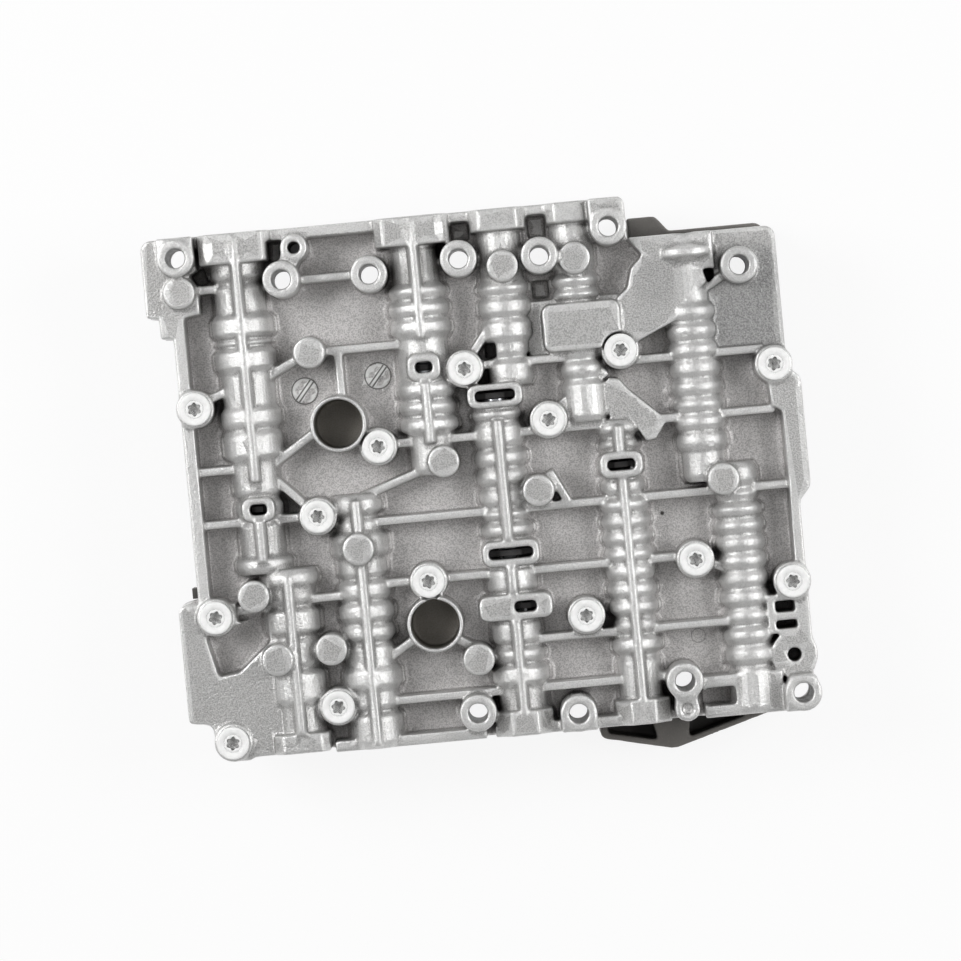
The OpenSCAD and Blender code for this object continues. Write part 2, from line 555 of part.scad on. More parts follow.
module lower_channel_housing() {
    top_z = solenoid_space + lower_t;
    post_z = strap_z + strap_t;
    color("darkgray") difference() {
        union() {
            translate([0, 0, solenoid_space]) linear_extrude(lower_t) polygon(rounded(OUTLINE));
            place([LUG], solenoid_space + lug_inset) cylinder(r = lug_r, h = lower_t - lug_inset - 1);
            translate([STRAP_ENDS[0], -rail_w, strap_z])
                cube([STRAP_ENDS[1] - STRAP_ENDS[0], 2 * rail_w, solenoid_space + overlap - strap_z]);
            place(STRAP_SCREWS, post_z) cylinder(r = post_r, h = solenoid_space + post_bite - post_z);
            place(FIXINGS, solenoid_space - boss_drop) cylinder(r = boss_r, h = boss_drop + boss_bite);
        }
        for (x = SOLENOID_X) for (s = [0, 180]) translate([x, 0, can_z]) rotate([-90, 0, s])
            translate([0, 0, rail_w - socket_d]) cylinder(r = nose_r + nose_clear, h = socket_d + 1);
        place(FIXINGS, 0) cylinder(r = fix_r + fix_room, h = parting_z);
        place(BOLTS, solenoid_space + thread_end) cylinder(r = bolt_r + fit_clear, h = parting_z);
        place(STRAP_SCREWS, 0) cylinder(r = screw_r + fit_clear, h = post_z + screw_grip + 1);
        place(CARRIER_SCREWS, 0) cylinder(r = screw_r + fit_clear, h = solenoid_space + screw_grip + 1);
        place(DOWELS, top_z - dowel_len - dowel_room) cylinder(r = dowel_r + fit_clear, h = parting_z);
        place(BALLS, top_z - 2 * ball_r - ball_play) cylinder(r = ball_r + loose, h = parting_z);
    }
}

// Pan-head bolts with a round recess
head_edge = 0.7;
recess_d = 2.2;
recess_taper = 0.2;
module housing_bolts() {
    reach = seat_h + plate_t + lower_t - thread_end - 1;
    deep = head_t - recess_d;
    color("gainsboro") place(BOLTS, parting_z + seat_h) {
        rotate_extrude() polygon([[0, 0], [head_r, 0], [head_r, head_t - head_edge],
            [head_r - head_edge, head_t], [recess_r, head_t], [recess_r - recess_taper, deep], [0, deep]]);
        translate([0, 0, -reach]) cylinder(r = bolt_r, h = reach + overlap);
    }
}

// Moves from the origin, along Z, to a place on a bore's axis, pointing along Y
module along_bore(i, y, way) {
    translate([hump_x(i), y, axis_z]) rotate([-90 * way, 0, 0]) children();
}

// Spool with evenly spaced lands and a spigot that centres the spring and ends the travel
land_w = 5;
land_pitch = 11;
spigot_r = 2.4;
end_gap = 0.1;
function valve_way(v) = sign(v[3] - v[2]);
function spool_len(v) = abs(v[3] - v[2]) - v[4] - stop_gap;
module valve_spool(v) {
    length = spool_len(v);
    lands = max(2, round(length / land_pitch));
    step = (length - land_w) / (lands - 1);
    r = bore_r - spool_clear;
    tip = length + v[4] - travel - stop_gap;
    body = [for (i = [0 : lands - 1]) each [[i == 0 ? r : spool_neck_r, i * step], [r, i * step],
        [r, i * step + land_w], [i == lands - 1 ? spigot_r : spool_neck_r, i * step + land_w]]];
    color("lightsteelblue") along_bore(v[1], v[2] + valve_way(v) * stop_gap, valve_way(v))
        rotate_extrude() polygon(concat([[0, 0]], body, [[spigot_r, tip], [0, tip]]));
}

// Compression spring with closed end turns
coil_pitch = 3.2;
coil_steps = 10;
wire_sides = 5;
module return_spring(v) {
    r = bore_r - 0.6 - wire_r;
    m = wire_sides;
    length = v[4] - 2 * end_gap - 2 * wire_r;
    turns = round(v[4] / coil_pitch);
    closed = 2.2 * wire_r;
    open = (length - 2 * closed) / (turns - 2);
    n = turns * coil_steps;
    start = v[2] + valve_way(v) * (stop_gap + spool_len(v) + end_gap);
    function rise(t) = t < 1 ? t * closed :
        t > turns - 1 ? length - (turns - t) * closed : closed + (t - 1) * open;
    points = [for (i = [0 : n]) for (k = [0 : m - 1])
        let (t = i / coil_steps, a = 360 * k / m, d = r + wire_r * cos(a))
        [d * cos(360 * t), d * sin(360 * t), wire_r + rise(t) + wire_r * sin(a)]];
    sides = [for (i = [0 : n - 1]) for (k = [0 : m - 1])
        let (a = i * m + k, b = i * m + (k + 1) % m)
        each [[a, a + m, b + m], [a, b + m, b]]];
    ends = [[for (k = [0 : m - 1]) k], [for (k = [m - 1 : -1 : 0]) n * m + k]];
    color("dimgray") along_bore(v[1], start, valve_way(v))
        polyhedron(points, concat(sides, ends), convexity = 10);
}

// Plug in a bore's mouth, with a groove for its seal and a nose that stops the spool
seal_r = 0.8;
seal_at = plug_t / 2;
cap_in = 0.6;
key_r = 2.5;
key_d = 3;
function bore_in(b) = sign(b[2] - b[1]);
module bore_plug(b) {
    r = plug_r - plug_clear;
    nose = bore_r - 1.2;
    low = seal_at - seal_r - 0.1;
    high = seal_at + seal_r + 0.1;
    deep = r - 2 * seal_r - 0.1;
    color("goldenrod") along_bore(b[0], b[1], bore_in(b))
        rotate_extrude() polygon([[0, cap_in + key_d], [key_r, cap_in + key_d], [key_r, cap_in],
            [r - 0.4, cap_in], [r, cap_in + 0.4], [r, low], [deep, low], [deep, high], [r, high], [r, plug_t],
            [nose, plug_t], [nose, nose_y], [0, nose_y]]);
}
module plug_seals() {
    color("black") for (b = BORES) along_bore(b[0], b[1] + bore_in(b) * seal_at, 1)
        rotate_extrude() translate([plug_r - plug_clear - seal_r - fit_clear, 0]) circle(r = seal_r);
}

// Flat keeper in a window's slot, standing across the bore, with a narrower tongue to pull it by
tongue_part = 0.5;
tongue_rise = 5;
module retainer_clip(w) {
    half = w[4] / 2 - clip_clear;
    tongue = half * tongue_part;
    low = 2 * bore_r - tongue_rise;
    high = 2 * bore_r;
    color("lightgray") translate([hump_x(w[1]) + w[3], w[2] + clip_t / 2, slot_z + fit_clear])
        rotate([90, 0, 0]) linear_extrude(clip_t)
            polygon([[-half, 0], [half, 0], [half, low], [tongue, low], [tongue, high], [-tongue, high],
                [-tongue, low], [-half, low]]);
}

// Solenoid valve lying in its socket
ring_d = 1;
plug_w = 10;
plug_h = 6;
module solenoid(x, turn) {
    tip = rail_w - socket_d + stop_gap;
    step = can_y + flange_t;
    back = step + can_len;
    color("dimgray") translate([x, 0, can_z]) rotate([0, 0, turn]) {
        rotate([-90, 0, 0]) rotate_extrude() polygon([[0, tip], [nose_r - 0.6, tip], [nose_r, tip + 0.6],
            [nose_r, rail_w - 3], [nose_r - ring_d, rail_w - 2.8], [nose_r - ring_d, rail_w - 1.2],
            [nose_r, rail_w - 1], [nose_r, can_y], [can_r - 1, can_y], [can_r - 1, step], [can_r - 0.6, step],
            [can_r, step + 0.6], [can_r, back - 1], [can_r - 1, back], [0, back]]);
        translate([-plug_w / 2, back - 1, -plug_h / 2]) cube([plug_w, connector_len + 1, plug_h]);
    }
}

module solenoid_straps() {
    middle = (STRAP_ENDS[0] + STRAP_ENDS[1]) / 2;
    color("silver") translate([0, 0, strap_z]) linear_extrude(strap_t) difference() {
        for (s = [-1, 1]) rounded_box(middle, s * strap_y, STRAP_ENDS[1] - STRAP_ENDS[0], strap_w, 2);
        for (p = STRAP_SCREWS) translate(p) circle(r = screw_r + loose);
    }
}

module pan_screw(grip) {
    r = screw_head_r;
    h = screw_head_t;
    rotate_extrude() polygon([[0, 1 - h], [1.2, 1 - h], [1.2, -h], [r - 0.5, -h], [r, 0.6 - h], [r, 0],
        [screw_r, 0], [screw_r, grip], [0, grip]]);
}
module strap_screws() {
    color("gainsboro") place(STRAP_SCREWS, strap_z) pan_screw(strap_t + screw_grip);
}

// Moulded carrier: an open tray under the right half, with arms along the solenoids' connectors
carrier_floor = 3;
carrier_left = across(33);
tip_x = across(60);
carrier_right = right_x - 2;
tray_y = bottom_y - 0.4;
carrier_top = top_right_y + 2.4;
room_top = 73.5;
tab_rise = 5.8;
tip_cut = 0.05;
tab_room_x = step_x + 4.5;
room_left = carrier_left + carrier_wall;
room_right = carrier_right - carrier_wall;
CARRIER_RIBS = [-66, -30, 30, 62];
arm_z = 4;
access_r = boss_r + 1;
head_z = screw_head_t + 0.3;
head_room = 0.5;
module carrier_plan() {
    polygon(rounded([[carrier_left, tray_y - 6, 3], [carrier_left, 76, 3], [tip_x, 80, 2],
        [tip_x, carrier_top + tab_rise, 0], [across(70.5), carrier_top + tab_rise, 3],
        [across(75), carrier_top, 0], [carrier_right, carrier_top, 4], [carrier_right, -78, 3],
        [across(97), -80, 2], [across(96), tray_y - 2, 0], [tip_x, tray_tip - tip_cut, 1.5]]));
}
module access_plan(r) {
    for (p = FIXINGS) translate(p) circle(r = r);
}
module carrier_room() {
    difference() {
        union() {
            translate([room_left, bottom_y + 2]) square([room_right - room_left, room_top - bottom_y - 2]);
            translate([tab_room_x, 70]) square([room_right - tab_room_x, carrier_top - carrier_wall - 70]);
        }
        for (y = CARRIER_RIBS) translate([carrier_left, y - carrier_wall / 2])
            square([carrier_right - carrier_left, carrier_wall]);
        access_plan(access_r + carrier_wall);
    }
    translate([0, tray_y]) {
        polygon(spread([[36, 0.4], [52, 0.4], [54, -8.4], [36, -4.2]]));
        polygon(spread([[67, 0.4], [88, 0.4], [86, -2.4], [65.5, -8.4]]));
    }
}
module control_carrier() {
    color("#4a4744") difference() {
        union() {
            difference() {
                linear_extrude(carrier_h) carrier_plan();
                translate([0, 0, carrier_floor]) linear_extrude(carrier_h) carrier_room();
            }
            for (y = [arm_y, -arm_y - arm_w]) translate([STRAP_ENDS[0], y, arm_z])
                cube([carrier_left + 1 - STRAP_ENDS[0], arm_w, carrier_h - arm_z - 1]);
            place(CARRIER_SCREWS, 0) cylinder(r = post_r + 1, h = solenoid_space);
        }
        translate([0, 0, -1]) linear_extrude(parting_z) access_plan(access_r);
        place(CARRIER_SCREWS, -1) cylinder(r = screw_r + loose, h = parting_z);
        place(CARRIER_SCREWS, -1) cylinder(r = screw_head_r + head_room, h = head_z + 1);
    }
}
module carrier_screws() {
    color("gainsboro") place(CARRIER_SCREWS, head_z) pan_screw(solenoid_space - head_z + screw_grip);
}

module check_balls() {
    color("silver") place(BALLS, solenoid_space + lower_t - ball_r - ball_gap) sphere(r = ball_r);
}

module locating_dowels() {
    color("silver") place(DOWELS, parting_z - plate_t - dowel_len)
        cylinder(r = dowel_r, h = 2 * dowel_len + plate_t);
}

// Clip on the lower casting's left edge
clip_arm = 3.2;
clip_w = 3.8;
clip_z = 6;
module edge_clip() {
    color("#4a4744") translate([waist_x - 0.1, -30.8, solenoid_space - clip_z]) {
        translate([-clip_arm, 0, 0]) cube([clip_arm, clip_w, lower_t + clip_z - 2]);
        translate([-0.5, 0, 0]) cube([8, clip_w, clip_z - 0.05]);
    }
}

// Puts the middle of the whole part over the origin
module centred() {
    translate([0, -(top_y + tray_tip) / 2, 0]) children();
}

centred() upper_valve_housing();
centred() separator_plate();
centred() lower_channel_housing();
centred() housing_bolts();
for (v = VALVES) {
    centred() valve_spool(v);
    centred() return_spring(v);
}
for (b = BORES) centred() bore_plug(b);
for (w = WINDOWS) centred() retainer_clip(w);
for (i = [0 : len(SOLENOID_X) - 1]) {
    centred() solenoid(SOLENOID_X[i], 0);
    centred() solenoid(SOLENOID_X[i], 180);
}
centred() plug_seals();
centred() solenoid_straps();
centred() strap_screws();
centred() control_carrier();
centred() carrier_screws();
centred() check_balls();
centred() locating_dowels();
centred() edge_clip();
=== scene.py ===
"""Looks of a transmission valve body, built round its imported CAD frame."""

import math

import bmesh
import bpy
import numpy as np
import openvdb
from bpy.props import FloatProperty, FloatVectorProperty, IntProperty, PointerProperty
from mathutils import Matrix, Vector


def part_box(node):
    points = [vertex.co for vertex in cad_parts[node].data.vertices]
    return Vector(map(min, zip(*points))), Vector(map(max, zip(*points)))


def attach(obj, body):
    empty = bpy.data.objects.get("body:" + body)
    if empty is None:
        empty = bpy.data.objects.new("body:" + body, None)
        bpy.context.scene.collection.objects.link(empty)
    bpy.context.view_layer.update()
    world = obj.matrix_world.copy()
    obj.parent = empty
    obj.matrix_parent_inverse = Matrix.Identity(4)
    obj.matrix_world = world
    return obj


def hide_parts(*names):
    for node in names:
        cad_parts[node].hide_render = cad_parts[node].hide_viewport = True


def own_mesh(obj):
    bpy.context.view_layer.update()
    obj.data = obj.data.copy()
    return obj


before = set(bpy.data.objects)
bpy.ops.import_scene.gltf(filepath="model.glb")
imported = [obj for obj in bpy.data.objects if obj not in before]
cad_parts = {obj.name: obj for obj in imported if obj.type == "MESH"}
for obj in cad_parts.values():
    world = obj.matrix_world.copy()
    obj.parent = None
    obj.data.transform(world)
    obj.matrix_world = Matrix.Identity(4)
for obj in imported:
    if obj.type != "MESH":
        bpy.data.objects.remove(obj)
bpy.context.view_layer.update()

bl_info = {
    "name": "Transmission Valve Body",
    "version": (1, 0, 0),
    "blender": (4, 5, 0),
    "location": "View3D > Sidebar > Valve Body",
    "description": "Castings, bolts, valves, solenoids and carrier of a hydraulic valve body",
    "category": "Object",
}

MM = 0.001

# Places shared with the CAD frame, in millimetres; y is measured from the castings' own middle
CENTRE_Y = 1.3
BOLT_PLACES = ((-102, 38), (-4, 43.5), (52.5, 45), (107, 35), (24.5, 22.5), (-37.5, 18.5), (-61.5, -4.5),
               (-24, -31.5), (72.5, -32.5), (106.5, -43.5), (-101.5, -37.5), (31.5, -49), (-60.5, -73.5),
               (-99.5, -83))
BOLT_SEAT_Z = 49.7
BOLT_REACH = 26.7
WELLS = ((-51, 28), (-23, -47))
WELL_R = 8.8
# Heights between which the deep part of a well starts
WELL_TOP_Z, WELL_DEEP_Z = 52.0, 48.0
# Heights between which the upper casting's skin turns from floor to raised
FLOOR_TOP_Z, RAISED_Z = 37.2, 39.5
# The same for the lower casting, which has no floors that show: all of it counts as raised
LOWER_FLOOR_Z, LOWER_RAISED_Z = -30, -20
# Marks in the floor, drawn as painted shade along their edges: x, y, radius, strength, barred or not; two date
# marks and a faint ring
FLOOR_RINGS = ((-62.5, 41, 4.8, 0.85, True), (-35.6, 44, 4.8, 0.85, True), (71.5, -60.7, 2.6, 0.4, False))
BAR_TURN = math.radians(50)
BAR_HALF = 0.7
# Pores in the floor, drawn as painted shade in their hollows: x, y
PORES = ((62.5, -15.2),)
PORE_R = 0.9
# Duller patches of cast skin: x, y, radius, softness, strength
STAINS = ((101, 58, 26, 8, 0.55), (68, 69, 12, 6, 0.2))
# Floors that get no painted shade though walls close them in: x, y, radius
UNSHADED_FLOORS = ((25, -5, 4.5),)
# Solenoids: distances from the castings' middle at which the nose ends and the connector starts
NOSE_END, CONNECTOR_START = 16.0, 56.05
# Valves: height of the bores, travel of the spools and room round them
AXIS_Z = 43.2
TRAVEL = 5.0
BORE_ROOM = 0.25
# Valves: name, x, y of the stop, y of the spring's seat, spring length
VALVES = (("a", -82.5, 89, 1, 24), ("b", -74.5, -78, -25.6, 15), ("c", -47.5, -79, -1, 22),
          ("d_outer", -18.5, 89, 46.5, 14), ("d_inner", -18.5, 44.5, 8.5, 13), ("e", 12.5, 89, 38, 16),
          ("f_upper", 6, 32, -23, 18), ("f_lower", 6, -79, -44.5, 12), ("g", 38.5, 89, 23, 20),
          ("h", 49, -79, 3, 24), ("i", 79, 74, -2, 22), ("j", 89.5, -79, -4, 20))

# Distance fields: half width of the band and margin in cells, and how freely flat faces are merged
BAND = 6.0
MARGIN = 4
MERGING = 0.06
# Curve of a surface: reach of the blur that shows it and the depth that counts as full, in millimetres
CURVE_REACH = 1.2
CURVE_FULL = 0.3
# Faces above this many square millimetres are flat, and take no rounding from their corners
WIDE_FACE = 4.0
CARRIER_CELL = 0.6
CARRIER_ROUNDING = 0.4
CARRIER_FACES = 60000

# Colours that cast skin and metal are mixed towards; the last two are for painted highlights and painted shade
MOTTLE_COLOR = (0.42, 0.41, 0.4)
SPECK_COLOR = (0.25, 0.245, 0.24)
PAINTED_HIGHLIGHT_COLOR = (0.88, 0.88, 0.87)
PAINTED_SHADE_COLOR = (0.03, 0.028, 0.026)

# Camera, read from the photograph: millimetres in the castings' own places and degrees
CAMERA_X, CAMERA_Y = 8.8, 31
TARGET_X, TARGET_Y, TARGET_Z = -2, 2.9, 47
CAMERA_TURN = 5.35
CAMERA_ANGLE = 12.34


# Settings a user would change

class CastingSettings(bpy.types.PropertyGroup):
    """Shape and colour of the two die castings."""
    # Colour of the painted shade inside the two wells
    well_shade_color: FloatVectorProperty(name="Wells", description="Colour inside the two wells", subtype="COLOR",
                                    default=(0.2, 0.185, 0.16), min=0, max=1)
    cell: FloatProperty(name="Cell", description="Cell of the distance field, in millimetres",
                        default=0.5, min=0.3, max=1.5)
    soften: FloatProperty(name="Rounding", description="Rounding of cast edges, in millimetres",
                          default=0.34, min=0.1, max=2.0)
    face_limit: IntProperty(name="Faces", description="Most triangles in one casting",
                            default=190000, min=20000, max=199000)
    raised_color: FloatVectorProperty(name="Raised", description="Colour of raised cast skin", subtype="COLOR",
                                      default=(0.55, 0.547, 0.54), min=0, max=1)
    floor_color: FloatVectorProperty(name="Floor", description="Colour of the floors between the ribs",
                                     subtype="COLOR", default=(0.60, 0.585, 0.58), min=0, max=1)
    stain_color: FloatVectorProperty(name="Stain", description="Colour of duller patches of cast skin",
                                     subtype="COLOR", default=(0.2, 0.2, 0.2), min=0, max=1)
    # Colour that the painted shade in corners and deep pockets is mixed towards
    painted_shade_color: FloatVectorProperty(name="Shade", description="Colour of corners and deep pockets",
                                    subtype="COLOR", default=(0.035, 0.03, 0.027), min=0, max=1)


class FinishSettings(bpy.types.PropertyGroup):
    """Colours of the other pieces."""
    zinc: FloatVectorProperty(name="Zinc", description="Bolts and screws", subtype="COLOR",
                              default=(0.98, 0.98, 0.97), min=0, max=1)
    steel: FloatVectorProperty(name="Steel", description="Clips, straps, balls and dowels", subtype="COLOR",
                               default=(0.58, 0.58, 0.58), min=0, max=1)
    plate: FloatVectorProperty(name="Plate", description="Separator plate", subtype="COLOR",
                               default=(0.42, 0.42, 0.43), min=0, max=1)
    spool: FloatVectorProperty(name="Spools", description="Anodised spools", subtype="COLOR",
                               default=(0.5, 0.51, 0.53), min=0, max=1)
    plug: FloatVectorProperty(name="Plugs", description="Turned bore plugs", subtype="COLOR",
                              default=(0.66, 0.66, 0.67), min=0, max=1)
    can: FloatVectorProperty(name="Cans", description="Solenoid cans", subtype="COLOR",
                             default=(0.4, 0.4, 0.41), min=0, max=1)
    plastic: FloatVectorProperty(name="Plastic", description="Moulded carrier and clip", subtype="COLOR",
                                 default=(0.165, 0.157, 0.146), min=0, max=1)
    coil_radius: FloatProperty(name="Coil radius", description="Mean radius of the springs, in millimetres",
                               default=3.85, min=3.0, max=4.2)
    wire_radius: FloatProperty(name="Wire radius", description="Radius of the spring wire, in millimetres",
                               default=0.55, min=0.3, max=0.7)
    coil_pitch: FloatProperty(name="Pitch", description="Mean distance between two turns, in millimetres",
                              default=3.2, min=2.0, max=5.0)
    bolt_seed: IntProperty(name="Bolt turn", description="Seed of the bolts' random turns", default=4)
    rubber: FloatVectorProperty(name="Rubber", description="Plug seals", subtype="COLOR",
                                default=(0.02, 0.02, 0.02), min=0, max=1)


class StageSettings(bpy.types.PropertyGroup):
    """Floor, lights and camera."""
    floor_color: FloatVectorProperty(name="Floor", description="Colour of the floor", subtype="COLOR",
                                     default=(0.9, 0.9, 0.9), min=0, max=1)
    side_power: FloatProperty(name="Side lights", description="Power of the side lights", subtype="POWER",
                              default=6.5, min=0, max=200)
    top_power: FloatProperty(name="Top light", description="Power of the light overhead", subtype="POWER",
                             default=0.8, min=0, max=200)
    sky: FloatProperty(name="Surroundings", description="Level of the light from all round", default=0.36,
                       min=0, max=2)
    camera_height: FloatProperty(name="Camera height", description="Height of the camera", subtype="DISTANCE",
                                 default=1.65, min=0.5, max=5)


# Node helpers

def add_node(tree, kind, **values):
    """A node of that kind, with its inputs set by name."""
    node = tree.nodes.new(kind)
    for key, value in values.items():
        node.inputs[key.replace("_", " ")].default_value = value
    return node


def math_node(tree, operation, a, b, clamp=False):
    """A Math node fed by sockets or plain numbers."""
    node = tree.nodes.new("ShaderNodeMath")
    node.operation = operation
    node.use_clamp = clamp
    for socket, value in zip(node.inputs, (a, b)):
        if isinstance(value, (int, float)):
            socket.default_value = value
        else:
            tree.links.new(value, socket)
    return node.outputs[0]


def times(tree, a, b):
    """The product of two sockets or numbers."""
    return math_node(tree, "MULTIPLY", a, b)


def plus(tree, a, b):
    """The sum of two sockets or numbers."""
    return math_node(tree, "ADD", a, b)


def minus(tree, a, b):
    """The difference of two sockets or numbers."""
    return math_node(tree, "SUBTRACT", a, b)


def larger(tree, a, b):
    """The larger of two sockets or numbers."""
    return math_node(tree, "MAXIMUM", a, b)


def range_node(tree, value, low, high, to_low=0.0, to_high=1.0):
    """A smooth Map Range of a socket."""
    node = tree.nodes.new("ShaderNodeMapRange")
    node.interpolation_type = "SMOOTHSTEP"
    tree.links.new(value, node.inputs["Value"])
    for key, number in (("From Min", low), ("From Max", high), ("To Min", to_low), ("To Max", to_high)):
        node.inputs[key].default_value = number
    return node.outputs["Result"]


def mix_color(tree, factor, a, b, blend="MIX"):
    """A colour Mix of sockets or plain colours."""
    node = tree.nodes.new("ShaderNodeMix")
    node.data_type = "RGBA"
    node.blend_type = blend
    for socket, value in ((node.inputs[0], factor), (node.inputs[6], a), (node.inputs[7], b)):
        if isinstance(value, (int, float)):
            socket.default_value = value
        elif hasattr(value, "__len__"):
            socket.default_value = (*value[:3], 1.0)
        else:
            tree.links.new(value, socket)
    return node.outputs[2]


def group_tree(name, inputs, outputs):
    """An empty shader group with float inputs as (name, default) and outputs as (name, kind)."""
    tree = bpy.data.node_groups.new(name, "ShaderNodeTree")
    for label, default in inputs:
        socket = tree.interface.new_socket(name=label, in_out="INPUT", socket_type="NodeSocketFloat")
        socket.default_value = default
    for label, kind in outputs:
        tree.interface.new_socket(name=label, in_out="OUTPUT", socket_type=kind)
    return tree, tree.nodes.new("NodeGroupInput"), tree.nodes.new("NodeGroupOutput")


def grain_group():
    """Cast, peened or moulded grain: a height for bump, a slow mottle, fine specks and even grit."""
    name = "Surface Grain"
    if name in bpy.data.node_groups:
        return bpy.data.node_groups[name]
    tree, source, sink = group_tree(
        name, (("Grain Scale", 900.0), ("Mottle Scale", 70.0)),
        (("Height", "NodeSocketFloat"), ("Mottle", "NodeSocketFloat"), ("Specks", "NodeSocketFloat"),
         ("Grit", "NodeSocketFloat")))
    where = tree.nodes.new("ShaderNodeTexCoord").outputs["Object"]
    grain = add_node(tree, "ShaderNodeTexNoise", Detail=3.0, Roughness=0.6)
    fine = add_node(tree, "ShaderNodeTexNoise", Detail=2.0, Roughness=0.7)
    mottle = add_node(tree, "ShaderNodeTexNoise", Detail=4.0, Roughness=0.55)
    specks = add_node(tree, "ShaderNodeTexNoise", Detail=1.0, Roughness=0.5)
    for node in (grain, fine, mottle, specks):
        tree.links.new(where, node.inputs["Vector"])
    scale = source.outputs["Grain Scale"]
    tree.links.new(scale, grain.inputs["Scale"])
    tree.links.new(times(tree, scale, 3.1), fine.inputs["Scale"])
    tree.links.new(times(tree, scale, 1.7), specks.inputs["Scale"])
    tree.links.new(source.outputs["Mottle Scale"], mottle.inputs["Scale"])
    height = plus(tree, grain.outputs["Fac"], times(tree, fine.outputs["Fac"], 0.4))
    tree.links.new(height, sink.inputs["Height"])
    tree.links.new(range_node(tree, mottle.outputs["Fac"], 0.3, 0.7), sink.inputs["Mottle"])
    tree.links.new(range_node(tree, specks.outputs["Fac"], 0.62, 0.72), sink.inputs["Specks"])
    tree.links.new(specks.outputs["Fac"], sink.inputs["Grit"])
    return tree


def shelter_group():
    """How closed in a place is: 0 on open faces, 1 in corners and pockets."""
    name = "Shelter"
    if name in bpy.data.node_groups:
        return bpy.data.node_groups[name]
    tree, source, sink = group_tree(
        name, (("Reach", 0.006), ("Start", 0.35), ("Full", 0.9)), (("Mask", "NodeSocketFloat"),))
    cover = tree.nodes.new("ShaderNodeAmbientOcclusion")
    cover.samples = 8
    tree.links.new(source.outputs["Reach"], cover.inputs["Distance"])
    ranged = tree.nodes.new("ShaderNodeMapRange")
    ranged.interpolation_type = "SMOOTHSTEP"
    tree.links.new(minus(tree, 1.0, cover.outputs["AO"]), ranged.inputs["Value"])
    tree.links.new(source.outputs["Start"], ranged.inputs["From Min"])
    tree.links.new(source.outputs["Full"], ranged.inputs["From Max"])
    tree.links.new(ranged.outputs["Result"], sink.inputs["Mask"])
    return tree


def spot_group():
    """1 inside an upright round spot, falling to 0 over its soft edge; lengths in metres."""
    name = "Round Spot"
    if name in bpy.data.node_groups:
        return bpy.data.node_groups[name]
    tree, source, sink = group_tree(
        name, (("X", 0.0), ("Y", 0.0), ("Radius", 0.005), ("Softness", 0.001)),
        (("Mask", "NodeSocketFloat"),))
    place = object_place(tree)
    aside = minus(tree, place["X"], source.outputs["X"])
    along = minus(tree, place["Y"], source.outputs["Y"])
    square = plus(tree, times(tree, aside, aside), times(tree, along, along))
    inside = minus(tree, source.outputs["Radius"], math_node(tree, "POWER", square, 0.5))
    share = math_node(tree, "DIVIDE", inside, source.outputs["Softness"], clamp=True)
    tree.links.new(share, sink.inputs["Mask"])
    return tree


def new_material(name):
    """A material with an empty Principled shader."""
    material = bpy.data.materials.new(name)
    material.use_nodes = True
    return material, material.node_tree, material.node_tree.nodes["Principled BSDF"]


def place_group(tree, group, **values):
    """A group in a material, with its own values."""
    node = tree.nodes.new("ShaderNodeGroup")
    node.node_tree = group
    for key, value in values.items():
        node.inputs[key.replace("_", " ")].default_value = value
    return node


def object_place(tree):
    """X, Y and Z of the shaded place, as the outputs of a split."""
    split = tree.nodes.new("ShaderNodeSeparateXYZ")
    tree.links.new(tree.nodes.new("ShaderNodeTexCoord").outputs["Object"], split.inputs[0])
    return split.outputs


def spot(tree, x, y, radius, softness):
    """Mask of a round spot given in millimetres, in the castings' own places."""
    return place_group(tree, spot_group(), X=x * MM, Y=(y + CENTRE_Y) * MM, Radius=radius * MM,
                       Softness=softness * MM).outputs["Mask"]


def bar_lines(tree, place, x, y):
    """Mask of painted shade along the two long edges of a date mark's bar; x and y as in FLOOR_RINGS."""
    aside = minus(tree, place["X"], x * MM)
    along = minus(tree, place["Y"], (y + CENTRE_Y) * MM)
    across = minus(tree, times(tree, aside, math.sin(BAR_TURN)), times(tree, along, math.cos(BAR_TURN)))
    off = minus(tree, math_node(tree, "ABSOLUTE", across, 0.0), BAR_HALF * MM)
    return range_node(tree, math_node(tree, "ABSOLUTE", off, 0.0), 0.4 * MM, 0.15 * MM)


def bump(tree, height, strength, distance):
    """Bump from a height socket."""
    node = tree.nodes.new("ShaderNodeBump")
    node.inputs["Strength"].default_value = strength
    node.inputs["Distance"].default_value = distance
    tree.links.new(height, node.inputs["Height"])
    return node.outputs["Normal"]


# Materials

def cast_color(tree, grain, raised, stains):
    """Colour of cast skin before painted highlights and shade: floor or raised, then mottled, stained,
    speckled and gritty.
    """
    look = bpy.context.scene.valve_body_casting
    color = mix_color(tree, raised, look.floor_color, look.raised_color)
    color = mix_color(tree, times(tree, grain.outputs["Mottle"], 0.3), color, MOTTLE_COLOR)
    for x, y, radius, softness, strength in stains:
        patch = times(tree, spot(tree, x, y, radius, softness), strength)
        color = mix_color(tree, patch, color, look.stain_color)
    color = mix_color(tree, times(tree, grain.outputs["Specks"], 0.3), color, SPECK_COLOR)
    grit = range_node(tree, grain.outputs["Grit"], 0.3, 0.7, 0.74, 1.26)
    return mix_color(tree, 1.0, color, grit, "MULTIPLY")


def floor_marks(tree, place, low, rings, pores):
    """Masks of the painted shade along the date marks and rings and in the pores of the floor."""
    masks = []
    for x, y, radius, strength, barred in rings:
        outer = spot(tree, x, y, radius + 0.3, 0.25)
        inner = spot(tree, x, y, radius - 0.15, 0.25)
        mark = minus(tree, outer, inner)
        if barred:
            mark = larger(tree, mark, times(tree, bar_lines(tree, place, x, y), inner))
        masks.append(times(tree, times(tree, mark, low), strength))
    masks.extend(times(tree, spot(tree, x, y, PORE_R, 0.4), low) for x, y in pores)
    return masks


